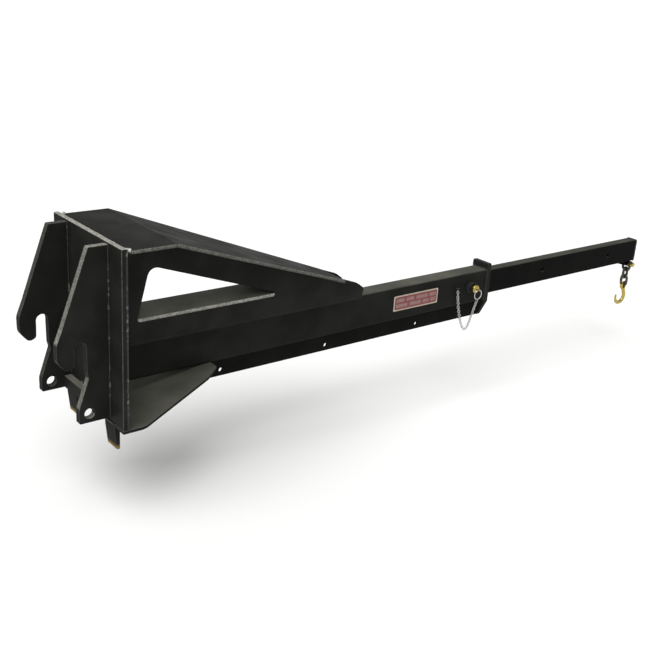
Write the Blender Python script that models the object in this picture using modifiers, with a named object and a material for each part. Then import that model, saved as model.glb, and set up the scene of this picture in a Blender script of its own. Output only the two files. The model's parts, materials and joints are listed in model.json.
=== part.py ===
"""Telescoping lifting jib for a wheel-loader quick coupler.

Metres, +Z up. The origin is on the rear face of the back plate, on the centre line,
level with the seats of the two coupler hooks. +X runs along the boom to its tip.
"""
import math

import bmesh
import bpy
from mathutils import Matrix, Vector

# ---- driving dimensions ----------------------------------------------------------------
GAP = 0.0003                    # clearance between pieces that touch

PLATE_HALF_WIDTH = 0.349        # back plate
PLATE_THICK = 0.025
PLATE_TOP = 0.4765
PLATE_BOTTOM = -0.398

EAR_OUTER = 0.225               # coupler ears, outer face from the centre line
EAR_THICK = 0.033
EAR_TOP = 0.4665
EAR_BOTTOM = -0.3745
HOOK_SEAT_X = -0.1445           # centre of the slot's round top
HOOK_SEAT_R = 0.0295
LUG_HOLE = (-0.106, -0.329)
LUG_HOLE_R = 0.026

CROSS_BAR_DEPTH = 0.042         # bar between the ears
CROSS_BAR_TOP = -0.312

TOE_HALF_WIDTH = 0.0475
TOE_BOTTOM = -0.5355
TOE_THICK = 0.030

DECK_TOP = 0.4645               # level part of the deck
DECK_THICK = 0.018
DECK_KINK_X = 0.284
DECK_SLOPE = -0.358
DECK_END_X = 1.475
DECK_HALF_WIDTH = 0.345
DECK_REAR_HALF_WIDTH = 0.316
DECK_FULL_WIDTH_X = 0.052
DECK_END_HALF_WIDTH = 0.112

WEB_OUTER = 0.105               # side webs under the deck
WEB_THICK = 0.020
NOSE_TOP_X = 1.574              # rounded nose past the deck's end
NOSE_FRONT = (1.624, -0.034)
NOSE_FOOT_X = 1.608
SADDLE_THICK = 0.012

TUBE_HALF_WIDTH = 0.059         # outer box
TUBE_TOP = -0.0955
TUBE_HEIGHT = 0.2032
TUBE_WALL = 0.010
TUBE_CORNER = 0.014
TUBE_END_X = 2.712
TUBE_BOTTOM = TUBE_TOP - TUBE_HEIGHT

INNER_HALF_WIDTH = 0.038        # sliding boom
INNER_TOP = -0.1135
INNER_BOTTOM = -0.2705
INNER_WALL = 0.008
INNER_CORNER = 0.010
INNER_REAR_X = 1.460
INNER_TIP_X = 4.290
TIP_CAP_THICK = 0.012

PIN_X = 2.551                   # lock pin and the row of holes that it enters
PIN_Z = -0.190
PIN_R = 0.012
PIN_HOLE_R = 0.014
HOLE_PITCH = 0.711

KEEL_HALF = 0.008
KEEL_BOTTOM = -0.4115
KEEL_HOLE_Z = -0.3795
KEEL_HOLE_R = 0.013
KEEL_HOLES_X = (0.745, 1.450, 2.155)

GUSSET_THICK = 0.016
GUSSET_BEND_X = 0.130
GUSSET_SLOPE = 0.205
GUSSET_END_X = 0.652

COLLAR_THICK = 0.025
COLLAR_HALF_WIDTH = 0.068
COLLAR_TOP = -0.057

LUG_PIN_X = 4.278               # lifting point under the boom's tip
LUG_PIN_Z = -0.298
LUG_EYE_R = 0.020
LUG_START_X = 4.150
SHACKLE_PIN_R = 0.011
BOW_WIRE_R = 0.010
BOW_HALF_WIDTH = 0.030
BOW_BOTTOM_Z = -0.3525
LINK_WIRE_R = 0.009
LINK_INNER_LENGTH = 0.060
LINK_INNER_WIDTH = 0.028
LINK_PLAY = 0.0008
CLEVIS_PIN_R = 0.008

MATERIALS = {
    "black_paint": ((0.018, 0.018, 0.017), 0.42, 0.0),
    "black_paint_boom": ((0.030, 0.030, 0.027), 0.40, 0.0),
    "worn_steel": ((0.26, 0.22, 0.13), 0.50, 0.8),
    "yellow_zinc": ((0.55, 0.46, 0.20), 0.32, 1.0),
    "dark_steel": ((0.10, 0.10, 0.085), 0.45, 0.9),
    "bright_steel": ((0.55, 0.55, 0.54), 0.35, 1.0),
    "label_vinyl": ((0.75, 0.70, 0.60), 0.45, 0.0),
    "wear_plastic": ((0.60, 0.58, 0.50), 0.60, 0.0),
}


# ---- helpers ---------------------------------------------------------------------------
def clear_scene():
    """Remove every object that the file opens with."""
    for obj in list(bpy.data.objects):
        bpy.data.objects.remove(obj, do_unlink=True)


def new_collection(name):
    """Make a collection linked to the scene."""
    made = bpy.data.collections.new(name)
    bpy.context.scene.collection.children.link(made)
    return made


def material(name):
    """Return the named finish, made on first use."""
    if name in bpy.data.materials:
        return bpy.data.materials[name]
    colour, roughness, metallic = MATERIALS[name]
    made = bpy.data.materials.new(name)
    made.use_nodes = True
    shader = made.node_tree.nodes["Principled BSDF"]
    shader.inputs["Base Color"].default_value = (*colour, 1.0)
    shader.inputs["Roughness"].default_value = roughness
    shader.inputs["Metallic"].default_value = metallic
    return made


def add_object(name, mesh, finish, collection=None):
    """Link a mesh as a named part with its finish."""
    obj = bpy.data.objects.new(name, mesh)
    (collection or PARTS).objects.link(obj)
    mesh.materials.clear()
    mesh.materials.append(material(finish))
    return obj


def hide_cutter(obj):
    """Keep a cutter out of the model."""
    obj.hide_render = True
    obj.display_type = "WIRE"
    return obj


def bevel(obj, width=0.0015, segments=1, angle=35):
    """Break the sharp edges of a part."""
    mod = obj.modifiers.new("edge_break", "BEVEL")
    mod.width = width
    mod.segments = segments
    mod.limit_method = "ANGLE"
    mod.angle_limit = math.radians(angle)
    mod.use_clamp_overlap = True
    return obj


def boolean(obj, cutter, operation="DIFFERENCE"):
    """Cut or join with the EXACT solver."""
    mod = obj.modifiers.new(operation.lower(), "BOOLEAN")
    mod.operation = operation
    mod.solver = "EXACT"
    mod.object = hide_cutter(cutter)
    return obj


def box_mesh(name, low, high):
    """Make a box from its lowest and highest corners."""
    mesh = bpy.data.meshes.new(name)
    shape = bmesh.new()
    bmesh.ops.create_cube(shape, size=1.0)
    low, high = Vector(low), Vector(high)
    bmesh.ops.scale(shape, vec=high - low, verts=shape.verts)
    bmesh.ops.translate(shape, vec=(low + high) / 2, verts=shape.verts)
    shape.to_mesh(mesh)
    shape.free()
    return mesh


def box(name, low, high, finish="black_paint", edge=0.0015):
    """Make a box part with broken edges."""
    obj = add_object(name, box_mesh(name, low, high), finish)
    return bevel(obj, edge) if edge else obj


AXIS_TURN = {
    "X": Matrix.Rotation(math.pi / 2, 4, "Y"),
    "Y": Matrix.Rotation(-math.pi / 2, 4, "X"),
    "Z": Matrix.Identity(4),
}


def cylinder_mesh(name, radius, centre, axis, length, sides=32):
    """Make a cylinder centred on a point, along X, Y or Z."""
    mesh = bpy.data.meshes.new(name)
    shape = bmesh.new()
    bmesh.ops.create_cone(shape, cap_ends=True, segments=sides, radius1=radius, radius2=radius,
                          depth=length, matrix=Matrix.Translation(centre) @ AXIS_TURN[axis])
    shape.to_mesh(mesh)
    shape.free()
    return mesh


def cylinder_cutter(name, radius, centre, axis, length, sides=32):
    """Make a cylinder that only cuts."""
    mesh = cylinder_mesh(name, radius, centre, axis, length, sides)
    return add_object(name, mesh, "black_paint", CUTTERS)


def circle(centre, radius, sides=28):
    """Points of a full circle in a plane."""
    step = 2 * math.pi / sides
    return [(centre[0] + radius * math.cos(i * step), centre[1] + radius * math.sin(i * step))
            for i in range(sides)]


def arc(centre, radius, start, end, steps=8):
    """Points of an arc, from one angle to another in degrees."""
    angles = [math.radians(start + (end - start) * i / steps) for i in range(steps + 1)]
    return [(centre[0] + radius * math.cos(a), centre[1] + radius * math.sin(a)) for a in angles]


def corner_centre(before, here, after, radius):
    """Centre of the round that fits a corner between two straight sides."""
    here = Vector(here)
    towards = (Vector(before) - here).normalized()
    away = (Vector(after) - here).normalized()
    return here + (towards + away).normalized() * radius / math.sin(towards.angle(away) / 2)


def rounded(corners, steps=5):
    """Round a closed outline: each corner is (u, v, radius)."""
    points = []
    count = len(corners)
    for i, (u, v, radius) in enumerate(corners):
        here = Vector((u, v))
        if radius <= 0:
            points.append((u, v))
            continue
        last, following = corners[i - 1][:2], corners[(i + 1) % count][:2]
        centre = corner_centre(last, here, following, radius)
        before = (Vector(last) - here).normalized()
        after = (Vector(following) - here).normalized()
        reach = radius / math.tan(before.angle(after) / 2)
        start = here + before * reach - centre
        end = here + after * reach - centre
        turn = math.atan2(start.cross(end), start.dot(end))
        for k in range(steps + 1):
            spoke = Matrix.Rotation(turn * k / steps, 2) @ start
            points.append(tuple(centre + spoke))
    return points


def outline_mesh(name, outlines, thickness):
    """Fill flat outlines, the later ones as holes, and give them a thickness."""
    curve = bpy.data.curves.new(name, "CURVE")
    curve.dimensions = "2D"
    curve.fill_mode = "BOTH"
    curve.extrude = thickness / 2
    for outline in outlines:
        spline = curve.splines.new("POLY")
        spline.points.add(len(outline) - 1)
        for point, (u, v) in zip(spline.points, outline):
            point.co = (u, v, 0.0, 1.0)
        spline.use_cyclic_u = True
    guide = bpy.data.objects.new(name, curve)
    bpy.context.scene.collection.objects.link(guide)
    mesh = mesh_of(guide)
    bpy.data.objects.remove(guide, do_unlink=True)
    return mesh


def mesh_of(obj):
    """Return the evaluated mesh of an object, with its caps welded."""
    depsgraph = bpy.context.evaluated_depsgraph_get()
    mesh = bpy.data.meshes.new_from_object(obj.evaluated_get(depsgraph))
    mesh.transform(obj.matrix_world)
    shape = bmesh.new()
    shape.from_mesh(mesh)
    bmesh.ops.remove_doubles(shape, verts=shape.verts, dist=0.00001)
    bmesh.ops.recalc_face_normals(shape, faces=shape.faces)
    shape.to_mesh(mesh)
    shape.free()
    return mesh


PLANE_TURN = {
    "XZ": Matrix.Rotation(math.pi / 2, 4, "X"),
    "XY": Matrix.Identity(4),
    "YZ": Matrix(((0, 0, 1, 0), (1, 0, 0, 0), (0, 1, 0, 0), (0, 0, 0, 1))),
}


def outline_part(name, plane, outlines, low, high, finish="black_paint", collection=None):
    """Make a plate: outlines in a plane, between two distances along the third axis."""
    mesh = outline_mesh(name, outlines, high - low)
    middle = (low + high) / 2
    shift = {"XZ": (0, middle, 0), "XY": (0, 0, middle), "YZ": (middle, 0, 0)}[plane]
    mesh.transform(Matrix.Translation(shift) @ PLANE_TURN[plane])
    return add_object(name, mesh, finish, collection)


def turned(name, profile, centre, axis_turn, finish, sides=32):
    """Turn a profile of (radius, height) points, top to bottom, about an axis."""
    mesh = bpy.data.meshes.new(name)
    shape = bmesh.new()
    verts = [shape.verts.new((radius, 0.0, height)) for radius, height in profile]
    for first, second in zip(verts, verts[1:]):
        shape.edges.new((first, second))
    shape.to_mesh(mesh)
    shape.free()
    obj = add_object(name, mesh, finish)
    screw = obj.modifiers.new("turn", "SCREW")
    screw.steps = sides
    screw.render_steps = sides
    screw.use_merge_vertices = True
    screw.merge_threshold = 0.00001
    obj.matrix_world = Matrix.Translation(centre) @ axis_turn
    return obj


def wire(name, points, radius, finish, cyclic=False, resolution=2):
    """Bend a round wire along points."""
    curve = bpy.data.curves.new(name, "CURVE")
    curve.dimensions = "3D"
    curve.bevel_depth = radius
    curve.bevel_resolution = resolution
    curve.use_fill_caps = True
    spline = curve.splines.new("POLY")
    spline.points.add(len(points) - 1)
    for point, place in zip(spline.points, points):
        point.co = (*place, 1.0)
    spline.use_cyclic_u = cyclic
    curve.materials.append(material(finish))
    obj = bpy.data.objects.new(name, curve)
    PARTS.objects.link(obj)
    return obj


def wire_mesh(name, points, radius, finish, cyclic=False, resolution=2):
    """Bend a wire and turn it into a mesh part, ready for cutting and joining."""
    guide = wire(name + "_guide", points, radius, finish, cyclic, resolution)
    mesh = mesh_of(guide)
    bpy.data.objects.remove(guide, do_unlink=True)
    return add_object(name, mesh, finish)


# ---- coupler end -----------------------------------------------------------------------
def deck_surface(x):
    """Height of the deck's top at a distance from the back plate."""
    return DECK_TOP + DECK_SLOPE * max(0.0, x - DECK_KINK_X)


def ear_outline():
    """Coupler ear: slanted back, hook with its slot open downwards, and lower lug."""
    slot_front = HOOK_SEAT_X + HOOK_SEAT_R
    slot_back = HOOK_SEAT_X - HOOK_SEAT_R
    slot_top = HOOK_SEAT_R
    round_top = HOOK_SEAT_R - 0.0001
    return rounded([
        (-GAP, EAR_TOP, 0.0),
        (-0.097, EAR_TOP, 0.006),
        (-0.227, 0.106, 0.120),
        (-0.258, 0.028, 0.070),
        (-0.256, -0.046, 0.046),
        (-0.214, -0.100, 0.026),
        (-0.176, -0.086, 0.018),
        (slot_back, -0.040, 0.030),
        (slot_back, slot_top, round_top),
        (slot_front, slot_top, round_top),
        (slot_front + 0.002, -0.125, 0.020),
        (-0.106, -0.152, 0.010),
        (-0.158, -0.305, 0.060),
        (-0.158, EAR_BOTTOM, 0.008),
        (-GAP, EAR_BOTTOM, 0.0),
    ], 6)


def build_ears():
    """Two coupler ears on the rear face of the back plate."""
    for name, side in (("left_ear", 1), ("right_ear", -1)):
        faces = sorted((side * EAR_OUTER, side * (EAR_OUTER - EAR_THICK)))
        ear = outline_part(name, "XZ", [ear_outline(), circle(LUG_HOLE, LUG_HOLE_R)], *faces)
        bevel(ear, 0.0015)


def build_back_plate():
    """Full-width back plate, its two toes and the cross bar between the ears."""
    box("back_plate", (0.0, -PLATE_HALF_WIDTH, PLATE_BOTTOM),
        (PLATE_THICK, PLATE_HALF_WIDTH, PLATE_TOP), edge=0.002)
    top = PLATE_BOTTOM - GAP
    toe_centre = EAR_OUTER - EAR_THICK / 2
    profile = [(0.0, top), (0.0, top - 0.030), (0.013, TOE_BOTTOM), (TOE_THICK, TOE_BOTTOM),
               (TOE_THICK, top)]
    for name, side in (("left_toe", 1), ("right_toe", -1)):
        middle = side * toe_centre
        toe = outline_part(name, "XZ", [profile], middle - TOE_HALF_WIDTH,
                           middle + TOE_HALF_WIDTH, "worn_steel")
        bevel(toe, 0.002)
    reach = EAR_OUTER - EAR_THICK - GAP
    box("lower_cross_bar", (-CROSS_BAR_DEPTH, -reach, EAR_BOTTOM), (-GAP, reach, CROSS_BAR_TOP))


def build_deck():
    """Top plate: level over the webs, then bent down and tapered to the boom."""
    rear = PLATE_THICK + GAP
    end_top = deck_surface(DECK_END_X)
    profile = [(rear, DECK_TOP), (DECK_KINK_X, DECK_TOP), (DECK_END_X, end_top),
               (DECK_END_X, end_top - DECK_THICK),
               (DECK_KINK_X - 0.003, DECK_TOP - DECK_THICK), (rear, DECK_TOP - DECK_THICK)]
    deck = outline_part("deck_plate", "XZ", [profile], -0.400, 0.400)
    plan_half = [(rear - 0.010, DECK_REAR_HALF_WIDTH), (rear, DECK_REAR_HALF_WIDTH),
                 (DECK_FULL_WIDTH_X, DECK_HALF_WIDTH),
                 (DECK_KINK_X, DECK_HALF_WIDTH), (DECK_END_X + 0.010, DECK_END_HALF_WIDTH)]
    plan = plan_half + [(x, -y) for x, y in reversed(plan_half)]
    keep = outline_part("deck_plan", "XY", [plan], -0.200, 0.600, collection=CUTTERS)
    boolean(deck, keep, "INTERSECT")
    bevel(deck, 0.0015)


# ---- webs over the boom ----------------------------------------------------------------
WINDOW_SILL = 0.0195
TIE_THICK = 0.018


def web_outline():
    """Side web: under the deck at the top, on the saddle at the bottom, rounded nose."""
    rear = PLATE_THICK + GAP
    low = TUBE_TOP + SADDLE_THICK + GAP
    under = DECK_TOP - DECK_THICK - GAP
    end_under = deck_surface(DECK_END_X) - DECK_THICK - GAP
    return rounded([
        (rear, low, 0.0), (rear, under, 0.0), (DECK_KINK_X - 0.006, under, 0.0),
        (DECK_END_X + GAP, end_under, 0.0), (DECK_END_X + GAP, deck_surface(DECK_END_X), 0.0),
        (NOSE_TOP_X, deck_surface(NOSE_TOP_X), 0.040), (*NOSE_FRONT, 0.022),
        (NOSE_FOOT_X, low, 0.0),
    ])


WINDOW_REAR = (0.201, WINDOW_SILL)
WINDOW_PEAK = (0.272, 0.294)
WINDOW_FRONT = (1.080, WINDOW_SILL)
REAR_ROUND = 0.014
FRONT_ROUND = 0.015
TIE_CLEARANCE = 0.0009


def window_outline():
    """Long triangular window with rounded corners."""
    return rounded([(*WINDOW_REAR, REAR_ROUND), (*WINDOW_PEAK, 0.045),
                    (*WINDOW_FRONT, FRONT_ROUND)])


def tie_outline():
    """Section of the tie plate along the sill, its ends round like the window's corners."""
    rear = corner_centre(WINDOW_FRONT, WINDOW_REAR, WINDOW_PEAK, REAR_ROUND)
    front = corner_centre(WINDOW_REAR, WINDOW_FRONT, WINDOW_PEAK, FRONT_ROUND)
    rise = WINDOW_SILL + TIE_THICK - front.y
    end = math.degrees(math.asin(rise / (FRONT_ROUND - TIE_CLEARANCE)))
    return (arc(rear, REAR_ROUND - TIE_CLEARANCE, 163, 270, 5)
            + arc(front, FRONT_ROUND - TIE_CLEARANCE, -90, end, 5))


def build_webs():
    """Two side webs with windows, the tie plate on the sills and the saddle below."""
    for name, side in (("left_web", 1), ("right_web", -1)):
        faces = sorted((side * WEB_OUTER, side * (WEB_OUTER - WEB_THICK)))
        bevel(outline_part(name, "XZ", [web_outline(), window_outline()], *faces), 0.0012)
    bevel(outline_part("tie_plate", "XZ", [tie_outline()], -WEB_OUTER, WEB_OUTER), 0.0012)
    box("saddle_plate", (PLATE_THICK + GAP, -WEB_OUTER, TUBE_TOP + GAP),
        (NOSE_FOOT_X, WEB_OUTER, TUBE_TOP + SADDLE_THICK))


# ---- outer box, keel, gusset and collar ------------------------------------------------
def box_section(half_width, low, high, corner):
    """Outline of a rounded box section in the YZ plane."""
    return rounded([(-half_width, low, corner), (half_width, low, corner),
                    (half_width, high, corner), (-half_width, high, corner)], 4)


def hollow_section(name, half_width, low, high, corner, wall, start, end, finish):
    """Make a length of hollow box section along X."""
    outer = box_section(half_width, low, high, corner)
    inner = box_section(half_width - wall, low + wall, high - wall, corner - wall * 0.6)
    return outline_part(name, "YZ", [outer, inner], start, end, finish)


def build_outer_tube():
    """Outer box with the bore for the lock pin in its near wall."""
    tube = hollow_section("outer_tube", TUBE_HALF_WIDTH, TUBE_BOTTOM, TUBE_TOP, TUBE_CORNER,
                          TUBE_WALL, PLATE_THICK + GAP, TUBE_END_X, "black_paint_boom")
    bore = cylinder_cutter("pin_bore", PIN_HOLE_R, (PIN_X, -TUBE_HALF_WIDTH, PIN_Z), "Y", 0.060)
    boolean(tube, bore)


def gusset_under(x):
    """Height of the lower gusset's underside."""
    low = PLATE_BOTTOM - GUSSET_THICK
    return low + GUSSET_SLOPE * max(0.0, x - GUSSET_BEND_X)


def build_lower_gusset():
    """Bottom plate: level at the back plate, then bent up to the box and tapered."""
    low, high = PLATE_BOTTOM - GUSSET_THICK, PLATE_BOTTOM - GAP
    rear = 0.0
    touch_x = GUSSET_BEND_X + (TUBE_BOTTOM - GAP - high) / GUSSET_SLOPE
    top_end = TUBE_BOTTOM - GAP
    profile = [(rear, low), (GUSSET_BEND_X, low), (GUSSET_END_X, gusset_under(GUSSET_END_X)),
               (GUSSET_END_X, top_end), (touch_x, top_end), (GUSSET_BEND_X - 0.002, high),
               (rear, high)]
    gusset = outline_part("lower_gusset", "XZ", [profile], -0.400, 0.400)
    half = rounded([(-0.010, 0.0, 0.0), (-0.010, PLATE_HALF_WIDTH, 0.0),
                    (0.105, PLATE_HALF_WIDTH, 0.050), (0.560, 0.184, 0.060),
                    (GUSSET_END_X, 0.118, 0.045), (GUSSET_END_X + 0.006, 0.0, 0.0)])
    plan = half[:-1] + [(x, -y) for x, y in reversed(half)][:-1]
    keep = outline_part("gusset_plan", "XY", [plan], -0.500, -0.200, collection=CUTTERS)
    boolean(gusset, keep, "INTERSECT")
    for side in (1, -1):
        middle = side * (EAR_OUTER - EAR_THICK / 2)
        slot = box_mesh("toe_slot", (-0.050, middle - TOE_HALF_WIDTH - 0.001, -0.500),
                        (TOE_THICK + 0.001, middle + TOE_HALF_WIDTH + 0.001, -0.350))
        boolean(gusset, add_object(f"toe_slot_{side}", slot, "black_paint", CUTTERS))
    bevel(gusset, 0.0012)


def build_keel():
    """Keel rib under the box with its three holes, wedged out under the gusset."""
    wedge_x = GUSSET_BEND_X + 0.060
    outline = [(wedge_x, KEEL_BOTTOM), (COLLAR_REAR_X - GAP, KEEL_BOTTOM),
               (COLLAR_REAR_X - GAP, TUBE_BOTTOM - GAP), (GUSSET_END_X + 0.010, TUBE_BOTTOM - GAP),
               (GUSSET_END_X + 0.010, gusset_under(GUSSET_END_X) - 0.002),
               (wedge_x, gusset_under(wedge_x) - GAP)]
    holes = [circle((x, KEEL_HOLE_Z), KEEL_HOLE_R, 20) for x in KEEL_HOLES_X]
    bevel(outline_part("keel_rib", "XZ", [outline, *holes], -KEEL_HALF, KEEL_HALF), 0.001)


COLLAR_REAR_X = TUBE_END_X - COLLAR_THICK


def build_collar():
    """Collar plate round the mouth of the box, tapered down to the keel."""
    shoulder = TUBE_BOTTOM - 0.008
    outer = rounded([
        (-COLLAR_HALF_WIDTH, shoulder, 0.010), (-0.014, KEEL_BOTTOM, 0.006),
        (0.014, KEEL_BOTTOM, 0.006), (COLLAR_HALF_WIDTH, shoulder, 0.010),
        (COLLAR_HALF_WIDTH, COLLAR_TOP, 0.008), (-COLLAR_HALF_WIDTH, COLLAR_TOP, 0.008)])
    opening = box_section(TUBE_HALF_WIDTH + GAP, TUBE_BOTTOM - GAP, TUBE_TOP + GAP, TUBE_CORNER)
    collar = outline_part("collar_plate", "YZ", [outer, opening], COLLAR_REAR_X, TUBE_END_X)
    bevel(collar, 0.001)


PAD_START_X = 2.585
PAD_END_X = 2.700
PAD_TRIM = 0.012                # how far a pad stays clear of the rounded corners
REAR_PAD_INSET = 0.010
REAR_PAD_LENGTH = 0.090


def build_wear_pads():
    """Low-friction pads at the mouth of the box and at the rear of the sliding boom."""
    in_side = TUBE_HALF_WIDTH - TUBE_WALL
    in_top = TUBE_TOP - TUBE_WALL
    in_bottom = TUBE_BOTTOM + TUBE_WALL
    start, end = PAD_START_X, PAD_END_X
    trim = PAD_TRIM
    box("top_wear_pad", (start, -INNER_HALF_WIDTH + trim, INNER_TOP + 2 * GAP),
        (end, INNER_HALF_WIDTH - trim, in_top - GAP), "wear_plastic", 0)
    box("bottom_wear_pad", (start, -INNER_HALF_WIDTH + trim, in_bottom + GAP),
        (end, INNER_HALF_WIDTH - trim, INNER_BOTTOM - 2 * GAP), "wear_plastic", 0)
    for name, side in (("left_wear_pad", 1), ("right_wear_pad", -1)):
        faces = sorted((side * (INNER_HALF_WIDTH + 2 * GAP), side * (in_side - GAP)))
        box(name, (start, faces[0], INNER_BOTTOM + trim), (end, faces[1], INNER_TOP - trim),
            "wear_plastic", 0)
    rear = INNER_REAR_X + REAR_PAD_INSET
    front = rear + REAR_PAD_LENGTH
    box("boom_rear_top_pad", (rear, -INNER_HALF_WIDTH + trim, INNER_TOP + GAP),
        (front, INNER_HALF_WIDTH - trim, in_top - 2 * GAP), "wear_plastic", 0)
    box("boom_rear_bottom_pad", (rear, -INNER_HALF_WIDTH + trim, in_bottom + 2 * GAP),
        (front, INNER_HALF_WIDTH - trim, INNER_BOTTOM - GAP), "wear_plastic", 0)


# ---- sliding boom ----------------------------------------------------------------------
def build_boom():
    """Sliding boom with its row of pin holes, end cap and lifting lug."""
    boom = hollow_section("inner_tube", INNER_HALF_WIDTH, INNER_BOTTOM, INNER_TOP, INNER_CORNER,
                          INNER_WALL, INNER_REAR_X, INNER_TIP_X, "black_paint_boom")
    for step in (-1, 0, 1, 2):
        place = (PIN_X + step * HOLE_PITCH, 0.0, PIN_Z)
        boolean(boom, cylinder_cutter(f"boom_hole_{step + 1}", PIN_HOLE_R, place, "Y", 0.200, 24))
    cap = outline_part("tip_cap", "YZ",
                       [box_section(INNER_HALF_WIDTH, INNER_BOTTOM, INNER_TOP, INNER_CORNER)],
                       INNER_TIP_X + GAP, INNER_TIP_X + GAP + TIP_CAP_THICK, "black_paint_boom")
    bevel(cap, 0.0015)
    top = INNER_BOTTOM - GAP
    eye = arc((LUG_PIN_X, LUG_PIN_Z), LUG_EYE_R, -115, 0, 8)
    lug = [(LUG_START_X, top), (LUG_START_X + 0.015, top - 0.015), *eye,
           (LUG_PIN_X + LUG_EYE_R, top)]
    hole = circle((LUG_PIN_X, LUG_PIN_Z), SHACKLE_PIN_R + 0.001, 24)
    outline_part("tip_lug", "XZ", [lug, hole], -0.010, 0.010, "black_paint_boom")


def build_shackle():
    """Bow shackle: bow with drilled eyes, and its pin with a head and a nut."""
    eye_y = BOW_HALF_WIDTH
    bend = 0.028
    bottom = arc((0.0, BOW_BOTTOM_Z + bend), bend, -180, 0, 12)
    path = [(eye_y * -1, LUG_PIN_Z - 0.006)] + bottom + [(eye_y, LUG_PIN_Z - 0.006)]
    points = [(LUG_PIN_X, y, z) for y, z in path]
    bow = wire_mesh("shackle_bow", points, BOW_WIRE_R, "dark_steel")
    for side in (1, -1):
        eye = add_object(f"bow_eye_{side}", cylinder_mesh("bow_eye", 0.021,
                         (LUG_PIN_X, side * eye_y, LUG_PIN_Z), "Y", 0.018, 24),
                         "dark_steel", CUTTERS)
        boolean(bow, eye, "UNION")
    boolean(bow, cylinder_cutter("bow_pin_hole", SHACKLE_PIN_R + GAP,
                                 (LUG_PIN_X, 0.0, LUG_PIN_Z), "Y", 0.120, 24))
    head = 0.040
    r = SHACKLE_PIN_R
    # nut at the far end, head at the near end; heights run along +Y
    profile = [(0.0, 0.056), (0.017, 0.056), (0.017, head), (r, head), (r, -head),
               (0.016, -head), (0.016, -0.058), (0.0, -0.058)]
    turned("shackle_pin", profile, (LUG_PIN_X, 0.0, LUG_PIN_Z), AXIS_TURN["Y"], "yellow_zinc", 24)


def link_points(centre, plane):
    """Centre line of a chain link: two straights and two half circles."""
    radius = LINK_INNER_WIDTH / 2 + LINK_WIRE_R
    half = LINK_INNER_LENGTH / 2 + LINK_WIRE_R - radius
    path = arc((0.0, half), radius, 0, 180, 8) + arc((0.0, -half), radius, 180, 360, 8)
    cx, cy, cz = centre
    if plane == "XZ":
        return [(cx + u, cy, cz + v) for u, v in path]
    return [(cx, cy + u, cz + v) for u, v in path]


LINK_STEP = LINK_INNER_LENGTH - LINK_PLAY
LINK_1_Z = BOW_BOTTOM_Z + BOW_WIRE_R + LINK_PLAY - LINK_INNER_LENGTH / 2
LINK_2_Z = LINK_1_Z - LINK_INNER_LENGTH - LINK_PLAY + 2 * LINK_PLAY
CLEVIS_PIN_Z = LINK_2_Z - LINK_INNER_LENGTH / 2 + CLEVIS_PIN_R + LINK_PLAY


def build_hook():
    """Two chain links and the clevis hook with its pin."""
    wire("chain_link_1", link_points((LUG_PIN_X, 0.0, LINK_1_Z), "XZ"), LINK_WIRE_R,
         "dark_steel", cyclic=True)
    wire("chain_link_2", link_points((LUG_PIN_X, 0.0, LINK_2_Z), "YZ"), LINK_WIRE_R,
         "dark_steel", cyclic=True)
    x, top = LUG_PIN_X, CLEVIS_PIN_Z
    fork_in, fork_out, crotch = 0.0125, 0.0265, top - 0.038
    bowl = (x - 0.020, crotch - 0.062)
    outer_r, inner_r = 0.063, 0.036
    outline = [(x + fork_in, top - 0.020), (x + fork_in, top + 0.004)]
    outline += arc((x + (fork_in + fork_out) / 2, top + 0.004), 0.007, 180, 0, 4)[1:-1]
    outline += [(x + fork_out, top + 0.004), (x + fork_out, crotch - 0.010),
                (x + 0.024, crotch - 0.024)]
    outline += arc(bowl, outer_r, 28, -205, 22)
    tip_angle = math.radians(-205)
    tip = (bowl[0] + 0.058 * math.cos(tip_angle) - 0.002,
           bowl[1] + 0.058 * math.sin(tip_angle) + 0.014)
    outline += [tip, (tip[0] + 0.007, tip[1] + 0.002)]
    outline += arc(bowl, inner_r, -215, 60, 22)
    outline += [(x - 0.012, crotch - 0.028), (x - fork_out, crotch - 0.010),
                (x - fork_out, top + 0.004)]
    outline += arc((x - (fork_in + fork_out) / 2, top + 0.004), 0.007, 180, 0, 4)[1:-1]
    outline += [(x - fork_in, top + 0.004), (x - fork_in, top - 0.020)]
    outline += arc((x, top - 0.0255), fork_in, -180, 0, 8)[1:-1]
    hook = outline_part("clevis_hook", "XZ", [outline], -0.013, 0.013, "yellow_zinc")
    bevel(hook, 0.004, 2, 50)
    boolean(hook, cylinder_cutter("clevis_bore", CLEVIS_PIN_R + GAP, (x, 0.0, top), "X", 0.100, 20))
    profile = [(0.0, 0.034), (0.012, 0.034), (0.012, fork_out + GAP), (CLEVIS_PIN_R, fork_out + GAP),
               (CLEVIS_PIN_R, -0.034), (0.0, -0.034)]
    turned("clevis_pin", profile, (x, 0.0, top), AXIS_TURN["X"], "dark_steel", 20)


# ---- lock pin --------------------------------------------------------------------------
BOSS_LENGTH = 0.020
BOSS_FACE_Y = -TUBE_HALF_WIDTH - GAP - BOSS_LENGTH
PIN_TRAVEL_IN = 0.019
PIN_TIP_Y = -INNER_HALF_WIDTH - 0.0015
HEAD_FACE_Y = BOSS_FACE_Y - PIN_TRAVEL_IN - 0.001
RING_R = 0.030
RING_WIRE_R = 0.003
TAB_HOLE_Y = HEAD_FACE_Y - 0.028


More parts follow.
